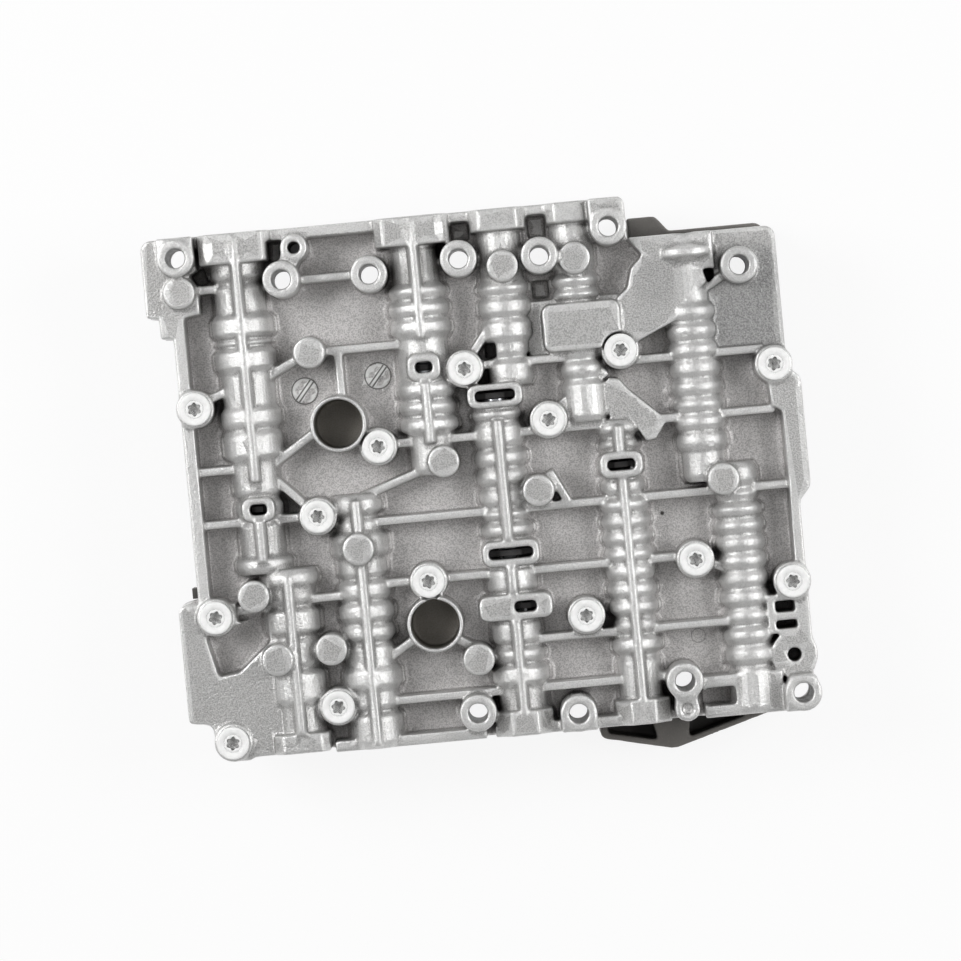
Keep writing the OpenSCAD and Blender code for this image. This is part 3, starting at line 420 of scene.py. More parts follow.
def cast_material(name, floor_top, raised_bottom, wells=(), rings=(), pores=(), stains=(), unshaded_floors=()):
    """Die-cast aluminium: darker floors, painted highlights on edges, painted shade in the corners, marks,
    pores and wells.
    """
    look = bpy.context.scene.valve_body_casting
    material, tree, shader = new_material(name)
    grain = place_group(tree, grain_group(), Grain_Scale=1100.0, Mottle_Scale=65.0)
    shelter = place_group(tree, shelter_group(), Reach=0.007, Start=0.46, Full=0.9)
    place = object_place(tree)
    raised = range_node(tree, place["Z"], floor_top * MM, raised_bottom * MM)
    low = minus(tree, 1.0, raised)
    curve = tree.nodes.new("ShaderNodeAttribute")
    curve.attribute_name = "curve"

    # Painted highlights on the edges, and a painted highlight line where a hump's foot steps down to the floor
    edge = range_node(tree, curve.outputs["Fac"], 0.08, 0.6)
    level = times(tree, low, range_node(tree, place["Z"], (floor_top - 1.4) * MM, (floor_top - 0.8) * MM))
    foot = times(tree, range_node(tree, curve.outputs["Fac"], 0.025, 0.18), level)
    bright = larger(tree, times(tree, edge, 0.5), times(tree, foot, 0.9))
    color = mix_color(tree, bright, cast_color(tree, grain, raised, stains), PAINTED_HIGHLIGHT_COLOR)

    # Painted shade in corners, marks and pores, but less of it on edges, unshaded floors and in the wells
    dull = minus(tree, 1.0, times(tree, larger(tree, edge, foot), 0.8))
    painted_shade = times(tree, times(tree, shelter.outputs["Mask"], 0.92), dull)
    # These floors lose most of the painted shade of their corners
    for x, y, radius in unshaded_floors:
        painted_shade = times(tree, painted_shade, minus(tree, 1.0, times(tree, spot(tree, x, y, radius, 1.0), 0.85)))
    # The marks and pores add their painted shade
    for mask in floor_marks(tree, place, low, rings, pores):
        painted_shade = larger(tree, painted_shade, mask)
    deep = range_node(tree, place["Z"], WELL_TOP_Z * MM, WELL_DEEP_Z * MM)
    # Painted shade inside the wells: their deep part is mixed towards the well colour, in place of corner
    # shade
    for x, y in wells:
        inside = times(tree, times(tree, spot(tree, x, y, WELL_R + 0.6, 0.4), deep), 0.85)
        color = mix_color(tree, inside, color, look.well_shade_color)
        painted_shade = times(tree, painted_shade, minus(tree, 1.0, times(tree, inside, 0.8)))

    # Painted shade: the mask mixes the colour towards the shade colour and also lowers the metal share
    tree.links.new(mix_color(tree, painted_shade, color, look.painted_shade_color), shader.inputs["Base Color"])
    tree.links.new(times(tree, minus(tree, 1.0, painted_shade), 0.75), shader.inputs["Metallic"])
    rough = plus(tree, times(tree, grain.outputs["Mottle"], 0.1), 0.34)
    tree.links.new(plus(tree, rough, times(tree, low, 0.14)), shader.inputs["Roughness"])
    tree.links.new(bump(tree, grain.outputs["Height"], 0.5, 0.0004), shader.inputs["Normal"])
    return material


def metal_material(name, color, roughness, grain_scale, depth, streak=0.15, metallic=1.0, sheltered=None,
                   coarse=12):
    """Plain metal with fine grain and slow unevenness, with painted shade where other faces close it in.

    sheltered holds the reach in millimetres, the share of the painted shade, and the cover at which it starts
    and is full.
    """
    material, tree, shader = new_material(name)
    grain = place_group(tree, grain_group(), Grain_Scale=grain_scale, Mottle_Scale=grain_scale / coarse)
    shade = mix_color(tree, times(tree, grain.outputs["Mottle"], streak), color, tuple(c * 0.6 for c in color))
    if sheltered:
        reach, share, start, full = sheltered
        shelter = place_group(tree, shelter_group(), Reach=reach * MM, Start=start, Full=full)
        # Painted shade where other faces close the metal in
        shade = mix_color(tree, times(tree, shelter.outputs["Mask"], share), shade, PAINTED_SHADE_COLOR)
    tree.links.new(shade, shader.inputs["Base Color"])
    shader.inputs["Metallic"].default_value = metallic
    rough = plus(tree, times(tree, grain.outputs["Specks"], 0.1), roughness)
    tree.links.new(rough, shader.inputs["Roughness"])
    tree.links.new(bump(tree, grain.outputs["Height"], 0.25, depth), shader.inputs["Normal"])
    return material


def plastic_material(name, color, roughness, pocket=0.0):
    """Glass-filled moulded plastic, dull and slightly streaky, with painted shade in its pockets by a share.
    """
    material, tree, shader = new_material(name)
    grain = place_group(tree, grain_group(), Grain_Scale=1600.0, Mottle_Scale=90.0)
    shelter = place_group(tree, shelter_group(), Reach=0.012, Start=0.22, Full=0.6)
    streaks, specks, closed = (tuple(min(1.0, c * k) for c in color) for k in (1.5, 2.2, 0.1))
    shade = mix_color(tree, times(tree, grain.outputs["Mottle"], 0.4), color, streaks)
    shade = mix_color(tree, times(tree, grain.outputs["Specks"], 0.3), shade, specks)
    # Painted shade in the pockets
    shade = mix_color(tree, times(tree, shelter.outputs["Mask"], pocket), shade, closed)
    tree.links.new(shade, shader.inputs["Base Color"])
    rough = plus(tree, times(tree, grain.outputs["Mottle"], 0.12), roughness)
    tree.links.new(rough, shader.inputs["Roughness"])
    tree.links.new(bump(tree, grain.outputs["Height"], 0.2, 0.0002), shader.inputs["Normal"])
    return material


def solenoid_material(name):
    """Steel nose, plated can and a plastic connector, told apart along the solenoid's length."""
    finish = bpy.context.scene.valve_body_finish
    material, tree, shader = new_material(name)
    grain = place_group(tree, grain_group(), Grain_Scale=1500.0, Mottle_Scale=120.0)
    along = math_node(tree, "ABSOLUTE", minus(tree, object_place(tree)["Y"], CENTRE_Y * MM), 0.0)
    nose = math_node(tree, "LESS_THAN", along, NOSE_END * MM)
    plug = math_node(tree, "GREATER_THAN", along, CONNECTOR_START * MM)
    can = mix_color(tree, times(tree, grain.outputs["Mottle"], 0.3), finish.can,
                    tuple(c * 0.6 for c in finish.can))
    body = mix_color(tree, nose, can, finish.steel)
    tree.links.new(mix_color(tree, plug, body, finish.plastic), shader.inputs["Base Color"])
    tree.links.new(minus(tree, 1.0, plug), shader.inputs["Metallic"])
    tree.links.new(plus(tree, times(tree, grain.outputs["Mottle"], 0.15), 0.3), shader.inputs["Roughness"])
    tree.links.new(bump(tree, grain.outputs["Height"], 0.15, 0.0001), shader.inputs["Normal"])
    return material


# Mesh helpers

def blurred(field, sigma):
    """Gaussian blur of a dense field along its three axes; sigma is in cells."""
    reach = int(math.ceil(3 * sigma))
    weights = np.exp(-0.5 * (np.arange(-reach, reach + 1) / sigma) ** 2)
    weights /= weights.sum()
    for axis in range(3):
        pad = [(0, 0)] * 3
        pad[axis] = (reach, reach)
        wide = np.pad(field, pad, mode="edge")
        total = np.zeros_like(field)
        for i, weight in enumerate(weights):
            cut = [slice(None)] * 3
            cut[axis] = slice(i, i + field.shape[axis])
            total += np.float32(weight) * wide[tuple(cut)]
        field = total
    return field


def sampled(field, corner, cell, points):
    """Field values at points in millimetres, by trilinear interpolation."""
    at = points / cell - corner
    low = np.clip(np.floor(at).astype(int), 0, np.array(field.shape) - 2)
    part = (at - low).astype(np.float32)
    total = np.zeros(len(points), np.float32)
    for dx in (0, 1):
        for dy in (0, 1):
            for dz in (0, 1):
                weight = np.abs(1 - dx - part[:, 0]) * np.abs(1 - dy - part[:, 1])
                weight *= np.abs(1 - dz - part[:, 2])
                total += weight * field[low[:, 0] + dx, low[:, 1] + dy, low[:, 2] + dz]
    return total


def merged_arrays(node):
    """Merged vertices in millimetres and triangles of a CAD node."""
    shape = bmesh.new()
    shape.from_mesh(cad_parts[node].data)
    bmesh.ops.remove_doubles(shape, verts=shape.verts, dist=1e-6)
    bmesh.ops.triangulate(shape, faces=shape.faces)
    shape.verts.index_update()
    points = np.array([v.co[:] for v in shape.verts], np.float32) / MM
    corners = np.array([[v.index for v in f.verts] for f in shape.faces], np.uint32)
    shape.free()
    return points, corners


def read_rows(items, key, width, kind=np.float32):
    """A property of all items of a mesh, one row each."""
    rows = np.empty(len(items) * width, kind)
    items.foreach_get(key, rows)
    return rows.reshape(-1, width)


def mesh_from_faces(name, points, threes, fours):
    """A mesh from arrays of points, triangles and quads."""
    mesh = bpy.data.meshes.new(name)
    corners = np.concatenate([threes.ravel(), fours.ravel()]).astype(np.int32)
    starts = np.concatenate([np.arange(len(threes)) * 3, 3 * len(threes) + np.arange(len(fours)) * 4])
    mesh.vertices.add(len(points))
    mesh.vertices.foreach_set("co", points.astype(np.float32).ravel())
    mesh.loops.add(len(corners))
    mesh.loops.foreach_set("vertex_index", corners)
    mesh.polygons.add(len(starts))
    mesh.polygons.foreach_set("loop_start", starts.astype(np.int32))
    mesh.update(calc_edges=True)
    mesh.validate()
    return mesh


def plain_mesh(obj, name):
    """The evaluated object as a plain mesh, with the object's modifiers removed."""
    graph = bpy.context.evaluated_depsgraph_get()
    mesh = bpy.data.meshes.new_from_object(obj.evaluated_get(graph), depsgraph=graph)
    mesh.name = name
    obj.modifiers.clear()
    old = obj.data
    obj.data = mesh
    bpy.data.meshes.remove(old)
    return mesh


def show(name, mesh):
    """A new object in the scene, at the origin."""
    obj = bpy.data.objects.new(name, mesh)
    bpy.context.scene.collection.objects.link(obj)
    return obj


def swept_boxes():
    """Boxes in millimetres that the spools fill on their way from stop to stop."""
    boxes = []
    for name, _, stop, seat, _ in VALVES:
        low, high = (np.array(corner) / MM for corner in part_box("valve_spool_" + name))
        if seat > stop:
            high[1] += TRAVEL
        else:
            low[1] -= TRAVEL
        boxes.append((low, high))
    return boxes


def open_bore(field, corner, cell, low, high):
    """Keeps a distance field clear of a round piece along y, given by its box in millimetres."""
    across, along, up = ((corner[k] + np.arange(field.shape[k])) * cell - (low[k] + high[k]) / 2
                         for k in range(3))
    half = (high - low) / 2 + BORE_ROOM
    round_part = half[0] - np.hypot(across[:, None], up[None, :])
    inside = np.minimum(round_part[:, None, :], (half[1] - np.abs(along))[None, :, None])
    np.maximum(field, inside.astype(np.float32), out=field)


def distance_field(node, cell):
    """Dense distance field of a CAD node in millimetres, and the cell that its first corner is in."""
    points, corners = merged_arrays(node)
    grid = openvdb.FloatGrid.createLevelSetFromPolygons(
        points, triangles=corners, transform=openvdb.createLinearTransform(voxelSize=cell), halfWidth=BAND)
    low, high = grid.evalActiveVoxelBoundingBox()
    low = np.array(low) - MARGIN
    field = np.full(tuple(np.array(high) + MARGIN - low + 1), BAND * cell, np.float32)
    grid.copyToArray(field, ijk=tuple(int(v) for v in low))
    return field, low


def field_surface(name, field, low, cell, face_limit):
    """A new object whose mesh is the zero surface of a distance field, thinned to the face limit."""
    grid = openvdb.FloatGrid(BAND * cell)
    grid.transform = openvdb.createLinearTransform(voxelSize=cell)
    grid.copyFromArray(field, ijk=tuple(int(v) for v in low), tolerance=0.0)
    grid.gridClass = openvdb.GridClass.LEVEL_SET
    points, threes, fours = grid.convertToPolygons(isovalue=0.0, adaptivity=MERGING)
    obj = show(name, mesh_from_faces(name, points * MM, threes, fours))
    count = len(threes) + 2 * len(fours)
    if count > face_limit:
        thin = obj.modifiers.new("Thin", "DECIMATE")
        thin.ratio = face_limit / count
        plain_mesh(obj, name)
    shape = bmesh.new()
    shape.from_mesh(obj.data)
    if shape.calc_volume(signed=True) < 0:
        bmesh.ops.reverse_faces(shape, faces=shape.faces)
    shape.to_mesh(obj.data)
    shape.free()
    return obj


def shade_from_field(mesh, field, low, cell):
    """Gives a mesh the field's own normals, and its curve as an attribute; wide faces stay flat."""
    places = read_rows(mesh.vertices, "co", 3) / MM
    step = 0.6 * cell
    slope = np.stack([sampled(field, low, cell, places + step * axis)
                      - sampled(field, low, cell, places - step * axis) for axis in np.eye(3)], axis=1)
    slope /= np.maximum(np.linalg.norm(slope, axis=1, keepdims=True), 1e-6)
    bend = blurred(field, CURVE_REACH / cell) - field
    point = read_rows(mesh.loops, "vertex_index", 1, np.int32)[:, 0]
    counts = read_rows(mesh.polygons, "loop_total", 1, np.int32)[:, 0]
    face = np.repeat(np.arange(len(mesh.polygons)), counts)
    wide = (read_rows(mesh.polygons, "area", 1) > WIDE_FACE * MM ** 2)[face]
    middles = read_rows(mesh.polygons, "center", 3) / MM
    bends = np.where(wide[:, 0], sampled(bend, low, cell, middles)[face],
                     sampled(bend, low, cell, places)[point])
    curve = mesh.attributes.new("curve", "FLOAT", "CORNER")
    curve.data.foreach_set("value", np.clip(bends / CURVE_FULL, -1, 1).astype(np.float32))
    mesh.polygons.foreach_set("use_smooth", np.ones(len(mesh.polygons), bool))
    normals = np.where(wide, read_rows(mesh.polygons, "normal", 3)[face], slope[point])
    mesh.normals_split_custom_set(normals.tolist())


def rounded_copy(node, name, cell, soften, face_limit, cleared=()):
    """Copy of a CAD node, rounded through a distance field and kept clear of what moves in it."""
    field, low = distance_field(node, cell)
    field = blurred(field, soften / cell)
    for box in cleared:
        open_bore(field, low, cell, *box)
    obj = field_surface(name, field, low, cell, face_limit)
    shade_from_field(obj.data, field, low, cell)
    return obj


def ring_stack(name, rings, steps):
    """A closed mesh of stacked rings, each as (radius, height, depth of six lobes) in millimetres."""
    shape = bmesh.new()
    rows = []
    for radius, height, lobe in rings:
        row = []
        for i in range(steps):
            angle = 2 * math.pi * i / steps
            r = radius + lobe * math.cos(6 * angle)
            row.append(shape.verts.new((r * math.cos(angle) * MM, r * math.sin(angle) * MM, height * MM)))
        rows.append(row)
    for low, high in zip(rows, rows[1:]):
        for i in range(steps):
            j = (i + 1) % steps
            shape.faces.new((low[i], low[j], high[j], high[i]))
    shape.faces.new(rows[0][::-1])
    shape.faces.new(rows[-1])
    for face in shape.faces:
        face.smooth = True
    for edge in shape.edges:
        edge.smooth = edge.calc_face_angle(0) < math.radians(35)
    mesh = bpy.data.meshes.new(name)
    shape.to_mesh(mesh)
    shape.free()
    return mesh


# Geometry node trees

def geometry_tree(name, inputs):
    """A geometry group with inputs as (name, socket kind); returns the tree and its ends."""
    tree = bpy.data.node_groups.new(name, "GeometryNodeTree")
    tree.interface.new_socket(name="Geometry", in_out="INPUT", socket_type="NodeSocketGeometry")
    for label, kind in inputs:
        tree.interface.new_socket(name=label, in_out="INPUT", socket_type=kind)
    tree.interface.new_socket(name="Geometry", in_out="OUTPUT", socket_type="NodeSocketGeometry")
    return tree, tree.nodes.new("NodeGroupInput").outputs, tree.nodes.new("NodeGroupOutput").inputs


def finish_tree(tree, source, sink, geometry):
    """Realize Instances and Set Material at a tree's end."""
    real = tree.nodes.new("GeometryNodeRealizeInstances")
    coat = tree.nodes.new("GeometryNodeSetMaterial")
    tree.links.new(geometry, real.inputs["Geometry"])
    tree.links.new(real.outputs["Geometry"], coat.inputs["Geometry"])
    tree.links.new(source["Material"], coat.inputs["Material"])
    tree.links.new(coat.outputs["Geometry"], sink["Geometry"])


def bolt_tree():
    """A bolt on every point, each turned about its axis by chance."""
    tree, source, sink = geometry_tree("Bolt Set", (
        ("Bolt", "NodeSocketObject"), ("Seed", "NodeSocketInt"), ("Material", "NodeSocketMaterial")))
    bolt = tree.nodes.new("GeometryNodeObjectInfo")
    tree.links.new(source["Bolt"], bolt.inputs["Object"])
    chance = tree.nodes.new("FunctionNodeRandomValue")
    chance.data_type = "FLOAT_VECTOR"
    chance.inputs[0].default_value = (0, 0, 0)
    chance.inputs[1].default_value = (0, 0, math.pi)
    tree.links.new(source["Seed"], chance.inputs["Seed"])
    turn = tree.nodes.new("FunctionNodeEulerToRotation")
    tree.links.new(chance.outputs[0], turn.inputs[0])
    spread = tree.nodes.new("GeometryNodeInstanceOnPoints")
    tree.links.new(source["Geometry"], spread.inputs["Points"])
    tree.links.new(bolt.outputs["Geometry"], spread.inputs["Instance"])
    tree.links.new(turn.outputs[0], spread.inputs["Rotation"])
    finish_tree(tree, source, sink, spread.outputs["Instances"])
    return tree


def spring_tree():
    """Wire wound round an axis, with its first and last turn closed."""
    tree, source, sink = geometry_tree("Coil Spring", (
        ("Turns", "NodeSocketFloat"), ("Closed Pitch", "NodeSocketFloat"), ("Open Pitch", "NodeSocketFloat"),
        ("Coil Radius", "NodeSocketFloat"), ("Wire Radius", "NodeSocketFloat"), ("Start", "NodeSocketVector"),
        ("Turn", "NodeSocketVector"), ("Material", "NodeSocketMaterial")))
    spiral = tree.nodes.new("GeometryNodeCurveSpiral")
    spiral.inputs["Resolution"].default_value = 28
    spiral.inputs["Height"].default_value = 0.0
    tree.links.new(source["Turns"], spiral.inputs["Rotations"])
    tree.links.new(source["Coil Radius"], spiral.inputs["Start Radius"])
    tree.links.new(source["Coil Radius"], spiral.inputs["End Radius"])
    share = tree.nodes.new("GeometryNodeSplineParameter").outputs["Factor"]
    turns = times(tree, share, source["Turns"])
    middle = math_node(tree, "MINIMUM", larger(tree, minus(tree, turns, 1.0), 0.0),
                       minus(tree, source["Turns"], 2.0))
    steeper = minus(tree, source["Open Pitch"], source["Closed Pitch"])
    rise = plus(tree, times(tree, turns, source["Closed Pitch"]), times(tree, middle, steeper))
    lift = tree.nodes.new("ShaderNodeCombineXYZ")
    tree.links.new(plus(tree, rise, source["Wire Radius"]), lift.inputs["Z"])
    raised = tree.nodes.new("GeometryNodeSetPosition")
    tree.links.new(spiral.outputs["Curve"], raised.inputs["Geometry"])
    tree.links.new(lift.outputs[0], raised.inputs["Offset"])
    round_wire = tree.nodes.new("GeometryNodeCurvePrimitiveCircle")
    round_wire.inputs["Resolution"].default_value = 10
    tree.links.new(source["Wire Radius"], round_wire.inputs["Radius"])
    swept = tree.nodes.new("GeometryNodeCurveToMesh")
    swept.inputs["Fill Caps"].default_value = True
    tree.links.new(raised.outputs["Geometry"], swept.inputs["Curve"])
    tree.links.new(round_wire.outputs["Curve"], swept.inputs["Profile Curve"])
    turn = tree.nodes.new("FunctionNodeEulerToRotation")
    tree.links.new(source["Turn"], turn.inputs[0])
    move = tree.nodes.new("GeometryNodeTransform")
    tree.links.new(swept.outputs["Mesh"], move.inputs["Geometry"])
    tree.links.new(source["Start"], move.inputs["Translation"])
    tree.links.new(turn.outputs[0], move.inputs["Rotation"])
    finish_tree(tree, source, sink, move.outputs["Geometry"])
    return tree


def grown(name, mesh, tree, values):
    """A new object whose mesh is what the tree makes of the given one."""
    obj = show(name, mesh)
    modifier = obj.modifiers.new("Grow", "NODES")
    modifier.node_group = tree
    for socket in tree.interface.items_tree:
        if socket.in_out == "INPUT" and socket.name in values:
            modifier[socket.identifier] = values[socket.name]
    plain_mesh(obj, name)
    if not obj.data.polygons:
        raise RuntimeError(name + " came out empty")
    return obj


def finish_piece(obj, body, material, slot, *nodes):
    """Gives a piece its material and ties it to the frame."""
    obj.data.materials.clear()
    obj.data.materials.append(material)
    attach(obj, body)
    if nodes:
        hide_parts(*nodes)


def paint(prefix, material):
    """Puts a material on every CAD node whose name starts with the prefix."""
    for name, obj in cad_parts.items():
        if name.startswith(prefix):
            obj.data.materials.clear()
            obj.data.materials.append(material)


# Operators

class VALVEBODY_OT_upper_casting(bpy.types.Operator):
    """Round the upper casting and give it its cast skin"""
    bl_idname = "valve_body.upper_casting"
    bl_label = "Upper Casting"

    def execute(self, context):
        look = context.scene.valve_body_casting
        obj = rounded_copy("upper_valve_housing", "upper_casting", look.cell, look.soften, look.face_limit,
                           swept_boxes())
        skin = cast_material("cast_aluminium_upper", FLOOR_TOP_Z, RAISED_Z, WELLS, FLOOR_RINGS, PORES, STAINS,
                             UNSHADED_FLOORS)
        finish_piece(obj, "housing", skin, "cast_aluminium", "upper_valve_housing")
        return {"FINISHED"}


class VALVEBODY_OT_lower_casting(bpy.types.Operator):
    """Round the lower casting and give it its cast skin"""
    bl_idname = "valve_body.lower_casting"
    bl_label = "Lower Casting"

    def execute(self, context):
        look = context.scene.valve_body_casting
        obj = rounded_copy("lower_channel_housing", "lower_casting", look.cell, look.soften,
                           look.face_limit // 2)
        skin = cast_material("cast_aluminium_lower", LOWER_FLOOR_Z, LOWER_RAISED_Z)
        finish_piece(obj, "housing", skin, "cast_aluminium", "lower_channel_housing")
        return {"FINISHED"}


class VALVEBODY_OT_metal_pieces(bpy.types.Operator):
    """Give plate, valves, plugs, clips and straps their finishes"""
    bl_idname = "valve_body.metal_pieces"
    bl_label = "Metal Pieces"

    def execute(self, context):
        finish = context.scene.valve_body_finish
        paint("separator_plate", metal_material("plate_steel", finish.plate, 0.38, 700, 0.0001))
        paint("valve_spool", metal_material("spool_aluminium", finish.spool, 0.25, 1800, 0.00003))
        paint("bore_plug", metal_material("plug_aluminium", finish.plug, 0.3, 1500, 0.00005))
        bright = metal_material("bright_steel", finish.steel, 0.28, 1200, 0.00005)
        for prefix in ("solenoid_straps", "check_balls", "locating_dowels"):
            paint(prefix, bright)
        # The clips get painted shade where the casting closes them in
        paint("retainer_clip", metal_material("clip_steel", finish.plate, 0.45, 1200, 0.00005,
                                              sheltered=(8, 0.88, 0.2, 0.6)))
        zinc = metal_material("zinc_screws", finish.zinc, 0.32, 1400, 0.00008, metallic=0.6)
        for prefix in ("strap_screws", "carrier_screws"):
            paint(prefix, zinc)
        paint("plug_seals", plastic_material("seal_rubber", finish.rubber, 0.55))
        return {"FINISHED"}


class VALVEBODY_OT_bolts(bpy.types.Operator):
    """Set a pan-head bolt with a six-lobe recess on every bolt seat"""
    bl_idname = "valve_body.bolts"
    bl_label = "Bolts"

    def execute(self, context):
        finish = context.scene.valve_body_finish
        head, shank, top, edge_r, tip = 5.9, 3.0, 3.4, 0.7, 0.6
        body = [(shank - tip, -BOLT_REACH, 0), (shank, tip - BOLT_REACH, 0), (shank, 0, 0), (head, 0, 0)]
        edge = [(head - edge_r + edge_r * math.cos(a), top - edge_r + edge_r * math.sin(a), 0)
                for a in (0, math.pi / 8, math.pi / 4, 3 * math.pi / 8, math.pi / 2)]
        groove = [(3.45, top, 0), (3.35, top - 0.22, 0), (3.05, top - 0.22, 0), (2.95, top - 0.05, 0)]
        recess = [(2.35, top - 0.05, 0.24), (2.2, top - 0.3, 0.3), (2.15, top - 2.1, 0.3)]
        bolt = show("bolt", ring_stack("bolt", body + edge + groove + recess, 72))
        seats = bpy.data.meshes.new("bolt_seats")
        seats.from_pydata([(x * MM, (y + CENTRE_Y) * MM, BOLT_SEAT_Z * MM) for x, y in BOLT_PLACES], [], [])
        # The bolts get painted shade in their recess and groove
        zinc = metal_material("zinc_steel", finish.zinc, 0.4, 1400, 0.00006, streak=0.22, metallic=0.0,
                              sheltered=(3.5, 0.94, 0.24, 0.5), coarse=2.2)
        obj = grown("bolts", seats, bolt_tree(), {"Bolt": bolt, "Seed": finish.bolt_seed, "Material": zinc})
        bpy.data.objects.remove(bolt)
        finish_piece(obj, "housing", zinc, "zinc_steel", "housing_bolts")
        return {"FINISHED"}


class VALVEBODY_OT_springs(bpy.types.Operator):
    """Wind the return springs and tie them to the housing"""
    bl_idname = "valve_body.springs"
    bl_label = "Springs"

    def execute(self, context):
        finish = context.scene.valve_body_finish
        steel = metal_material("spring_steel", finish.plate, 0.3, 1500, 0.00005)
        tree = spring_tree()
        end_gap, wire = 0.1, finish.wire_radius
        closed = 2.2 * wire
        for name, x, stop, seat, length in VALVES:
            way = 1 if seat > stop else -1
            turns = round(length / finish.coil_pitch)
            wound = length - 2 * end_gap - 2 * wire
            obj = grown("spring_" + name, bpy.data.meshes.new("spring_" + name), tree, {
                "Turns": float(turns), "Closed Pitch": closed * MM,
                "Open Pitch": (wound - 2 * closed) / (turns - 2) * MM, "Coil Radius": finish.coil_radius * MM,
                "Wire Radius": wire * MM, "Turn": (-math.pi / 2 * way, 0.0, 0.0), "Material": steel,
                "Start": (x * MM, (seat + CENTRE_Y - way * (length - end_gap)) * MM, AXIS_Z * MM)})
            obj.data.polygons.foreach_set("use_smooth", np.ones(len(obj.data.polygons), bool))
            finish_piece(obj, "housing", steel, "spring_steel", "return_spring_" + name)
            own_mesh(obj)
        return {"FINISHED"}


class VALVEBODY_OT_solenoids(bpy.types.Operator):
    """Give the solenoids their nose, can and connector finishes"""
    bl_idname = "valve_body.solenoids"
    bl_label = "Solenoids"

    def execute(self, context):
        look = solenoid_material("solenoid_can")
        for number in range(1, 9):
            paint("solenoid_%d" % number, look)
        return {"FINISHED"}


class VALVEBODY_OT_carrier(bpy.types.Operator):
    """Round the moulded carrier and give carrier and clip their plastic"""
    bl_idname = "valve_body.carrier"
    bl_label = "Carrier"

    def execute(self, context):
        finish = context.scene.valve_body_finish
        plastic = plastic_material("dark_plastic", finish.plastic, 0.5, 0.85)
        obj = rounded_copy("control_carrier", "carrier", CARRIER_CELL, CARRIER_ROUNDING, CARRIER_FACES)
        finish_piece(obj, "housing", plastic, "dark_plastic", "control_carrier")
        paint("edge_clip", plastic)
        return {"FINISHED"}


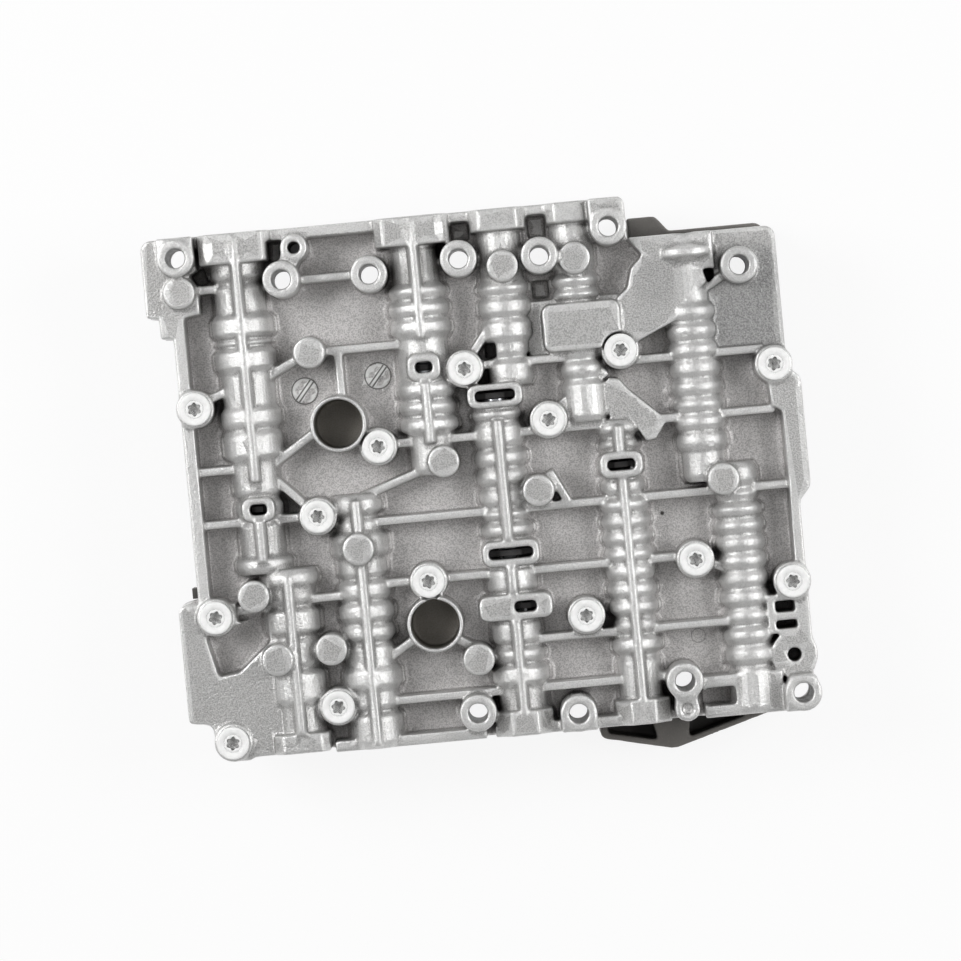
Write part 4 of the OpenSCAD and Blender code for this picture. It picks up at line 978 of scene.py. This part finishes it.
class VALVEBODY_OT_stage(bpy.types.Operator):
    """Make the floor, the lights and the camera"""
    bl_idname = "valve_body.stage"
    bl_label = "Stage"

    def execute(self, context):
        stage = context.scene.valve_body_stage
        self.floor(stage)
        self.lights(stage)
        self.camera(context.scene, stage)
        context.scene.view_settings.view_transform = "Standard"
        return {"FINISHED"}

    def floor(self, stage):
        half = 4.0
        mesh = bpy.data.meshes.new("floor")
        corners = [(-half, -half, 0), (half, -half, 0), (half, half, 0), (-half, half, 0)]
        mesh.from_pydata(corners, [], [(0, 1, 2, 3)])
        obj = show("floor", mesh)
        material, tree, shader = new_material("floor_white")
        shader.inputs["Base Color"].default_value = (*stage.floor_color, 1)
        shader.inputs["Roughness"].default_value = 0.9
        rays = tree.nodes.new("ShaderNodeLightPath").outputs
        seen = larger(tree, larger(tree, rays["Is Camera Ray"], rays["Is Glossy Ray"]),
                      rays["Is Transmission Ray"])
        white = tree.nodes.new("ShaderNodeEmission")
        both = tree.nodes.new("ShaderNodeMixShader")
        tree.links.new(times(tree, seen, 0.88), both.inputs[0])
        tree.links.new(shader.outputs[0], both.inputs[1])
        tree.links.new(white.outputs[0], both.inputs[2])
        tree.links.new(both.outputs[0], tree.nodes["Material Output"].inputs["Surface"])
        mesh.materials.append(material)

    def lights(self, stage):
        for name, place, size, power in (
                ("side_left", (-0.75, 0.35, 0.85), 0.55, stage.side_power),
                ("side_right", (0.8, 0.1, 0.8), 0.5, stage.side_power * 0.75),
                ("overhead", (-0.1, 0.3, 1.6), 1.0, stage.top_power)):
            lamp = bpy.data.lights.new(name, "AREA")
            lamp.size = size
            lamp.energy = power
            obj = bpy.data.objects.new(name, lamp)
            obj.location = place
            obj.rotation_euler = (Vector((0, 0, 0.03)) - Vector(place)).to_track_quat("-Z", "Y").to_euler()
            bpy.context.scene.collection.objects.link(obj)
        world = bpy.data.worlds.new("surroundings")
        world.use_nodes = True
        tree = world.node_tree
        split = tree.nodes.new("ShaderNodeSeparateXYZ")
        tree.links.new(tree.nodes.new("ShaderNodeTexCoord").outputs["Generated"], split.inputs[0])
        level = range_node(tree, split.outputs["Z"], 0.2, 0.95, 1.45, 0.7)
        background = tree.nodes["Background"].inputs
        tree.links.new(times(tree, level, stage.sky), background["Strength"])
        background["Color"].default_value = (1, 1, 1, 1)
        bpy.context.scene.world = world

    def camera(self, scene, stage):
        data = bpy.data.cameras.new("camera")
        data.angle = math.radians(CAMERA_ANGLE)
        data.clip_end = 20
        place = Vector((CAMERA_X * MM, (CAMERA_Y + CENTRE_Y) * MM, stage.camera_height))
        target = Vector((TARGET_X * MM, (TARGET_Y + CENTRE_Y) * MM, TARGET_Z * MM))
        turn = math.radians(CAMERA_TURN)
        back = (place - target).normalized()
        up = Vector((math.sin(turn), math.cos(turn), 0))
        right = up.cross(back).normalized()
        up = back.cross(right)
        obj = bpy.data.objects.new("camera", data)
        obj.matrix_world = Matrix.Translation(place) @ Matrix((right, up, back)).transposed().to_4x4()
        scene.collection.objects.link(obj)
        scene.camera = obj


class VALVEBODY_PT_panel(bpy.types.Panel):
    """Settings and pieces of the valve body"""
    bl_idname = "VALVEBODY_PT_panel"
    bl_label = "Valve Body"
    bl_space_type = "VIEW_3D"
    bl_region_type = "UI"
    bl_category = "Valve Body"

    def draw(self, context):
        for settings in (context.scene.valve_body_casting, context.scene.valve_body_finish,
                         context.scene.valve_body_stage):
            box = self.layout.box()
            for key in settings.__annotations__:
                box.prop(settings, key)
        for operator in OPERATORS:
            self.layout.operator(operator.bl_idname)


SETTINGS = (CastingSettings, FinishSettings, StageSettings)
OPERATORS = (VALVEBODY_OT_upper_casting, VALVEBODY_OT_lower_casting, VALVEBODY_OT_metal_pieces,
             VALVEBODY_OT_bolts, VALVEBODY_OT_springs, VALVEBODY_OT_solenoids, VALVEBODY_OT_carrier,
             VALVEBODY_OT_stage)


def register():
    for cls in (*SETTINGS, *OPERATORS, VALVEBODY_PT_panel):
        bpy.utils.register_class(cls)
    bpy.types.Scene.valve_body_casting = PointerProperty(type=CastingSettings)
    bpy.types.Scene.valve_body_finish = PointerProperty(type=FinishSettings)
    bpy.types.Scene.valve_body_stage = PointerProperty(type=StageSettings)


def unregister():
    del bpy.types.Scene.valve_body_stage
    del bpy.types.Scene.valve_body_finish
    del bpy.types.Scene.valve_body_casting
    for cls in reversed((*SETTINGS, *OPERATORS, VALVEBODY_PT_panel)):
        bpy.utils.unregister_class(cls)


def main():
    register()
    bpy.ops.valve_body.upper_casting()
    bpy.ops.valve_body.lower_casting()
    bpy.ops.valve_body.metal_pieces()
    bpy.ops.valve_body.bolts()
    bpy.ops.valve_body.springs()
    bpy.ops.valve_body.solenoids()
    bpy.ops.valve_body.carrier()
    bpy.ops.valve_body.stage()


if __name__ == "__main__":
    main()
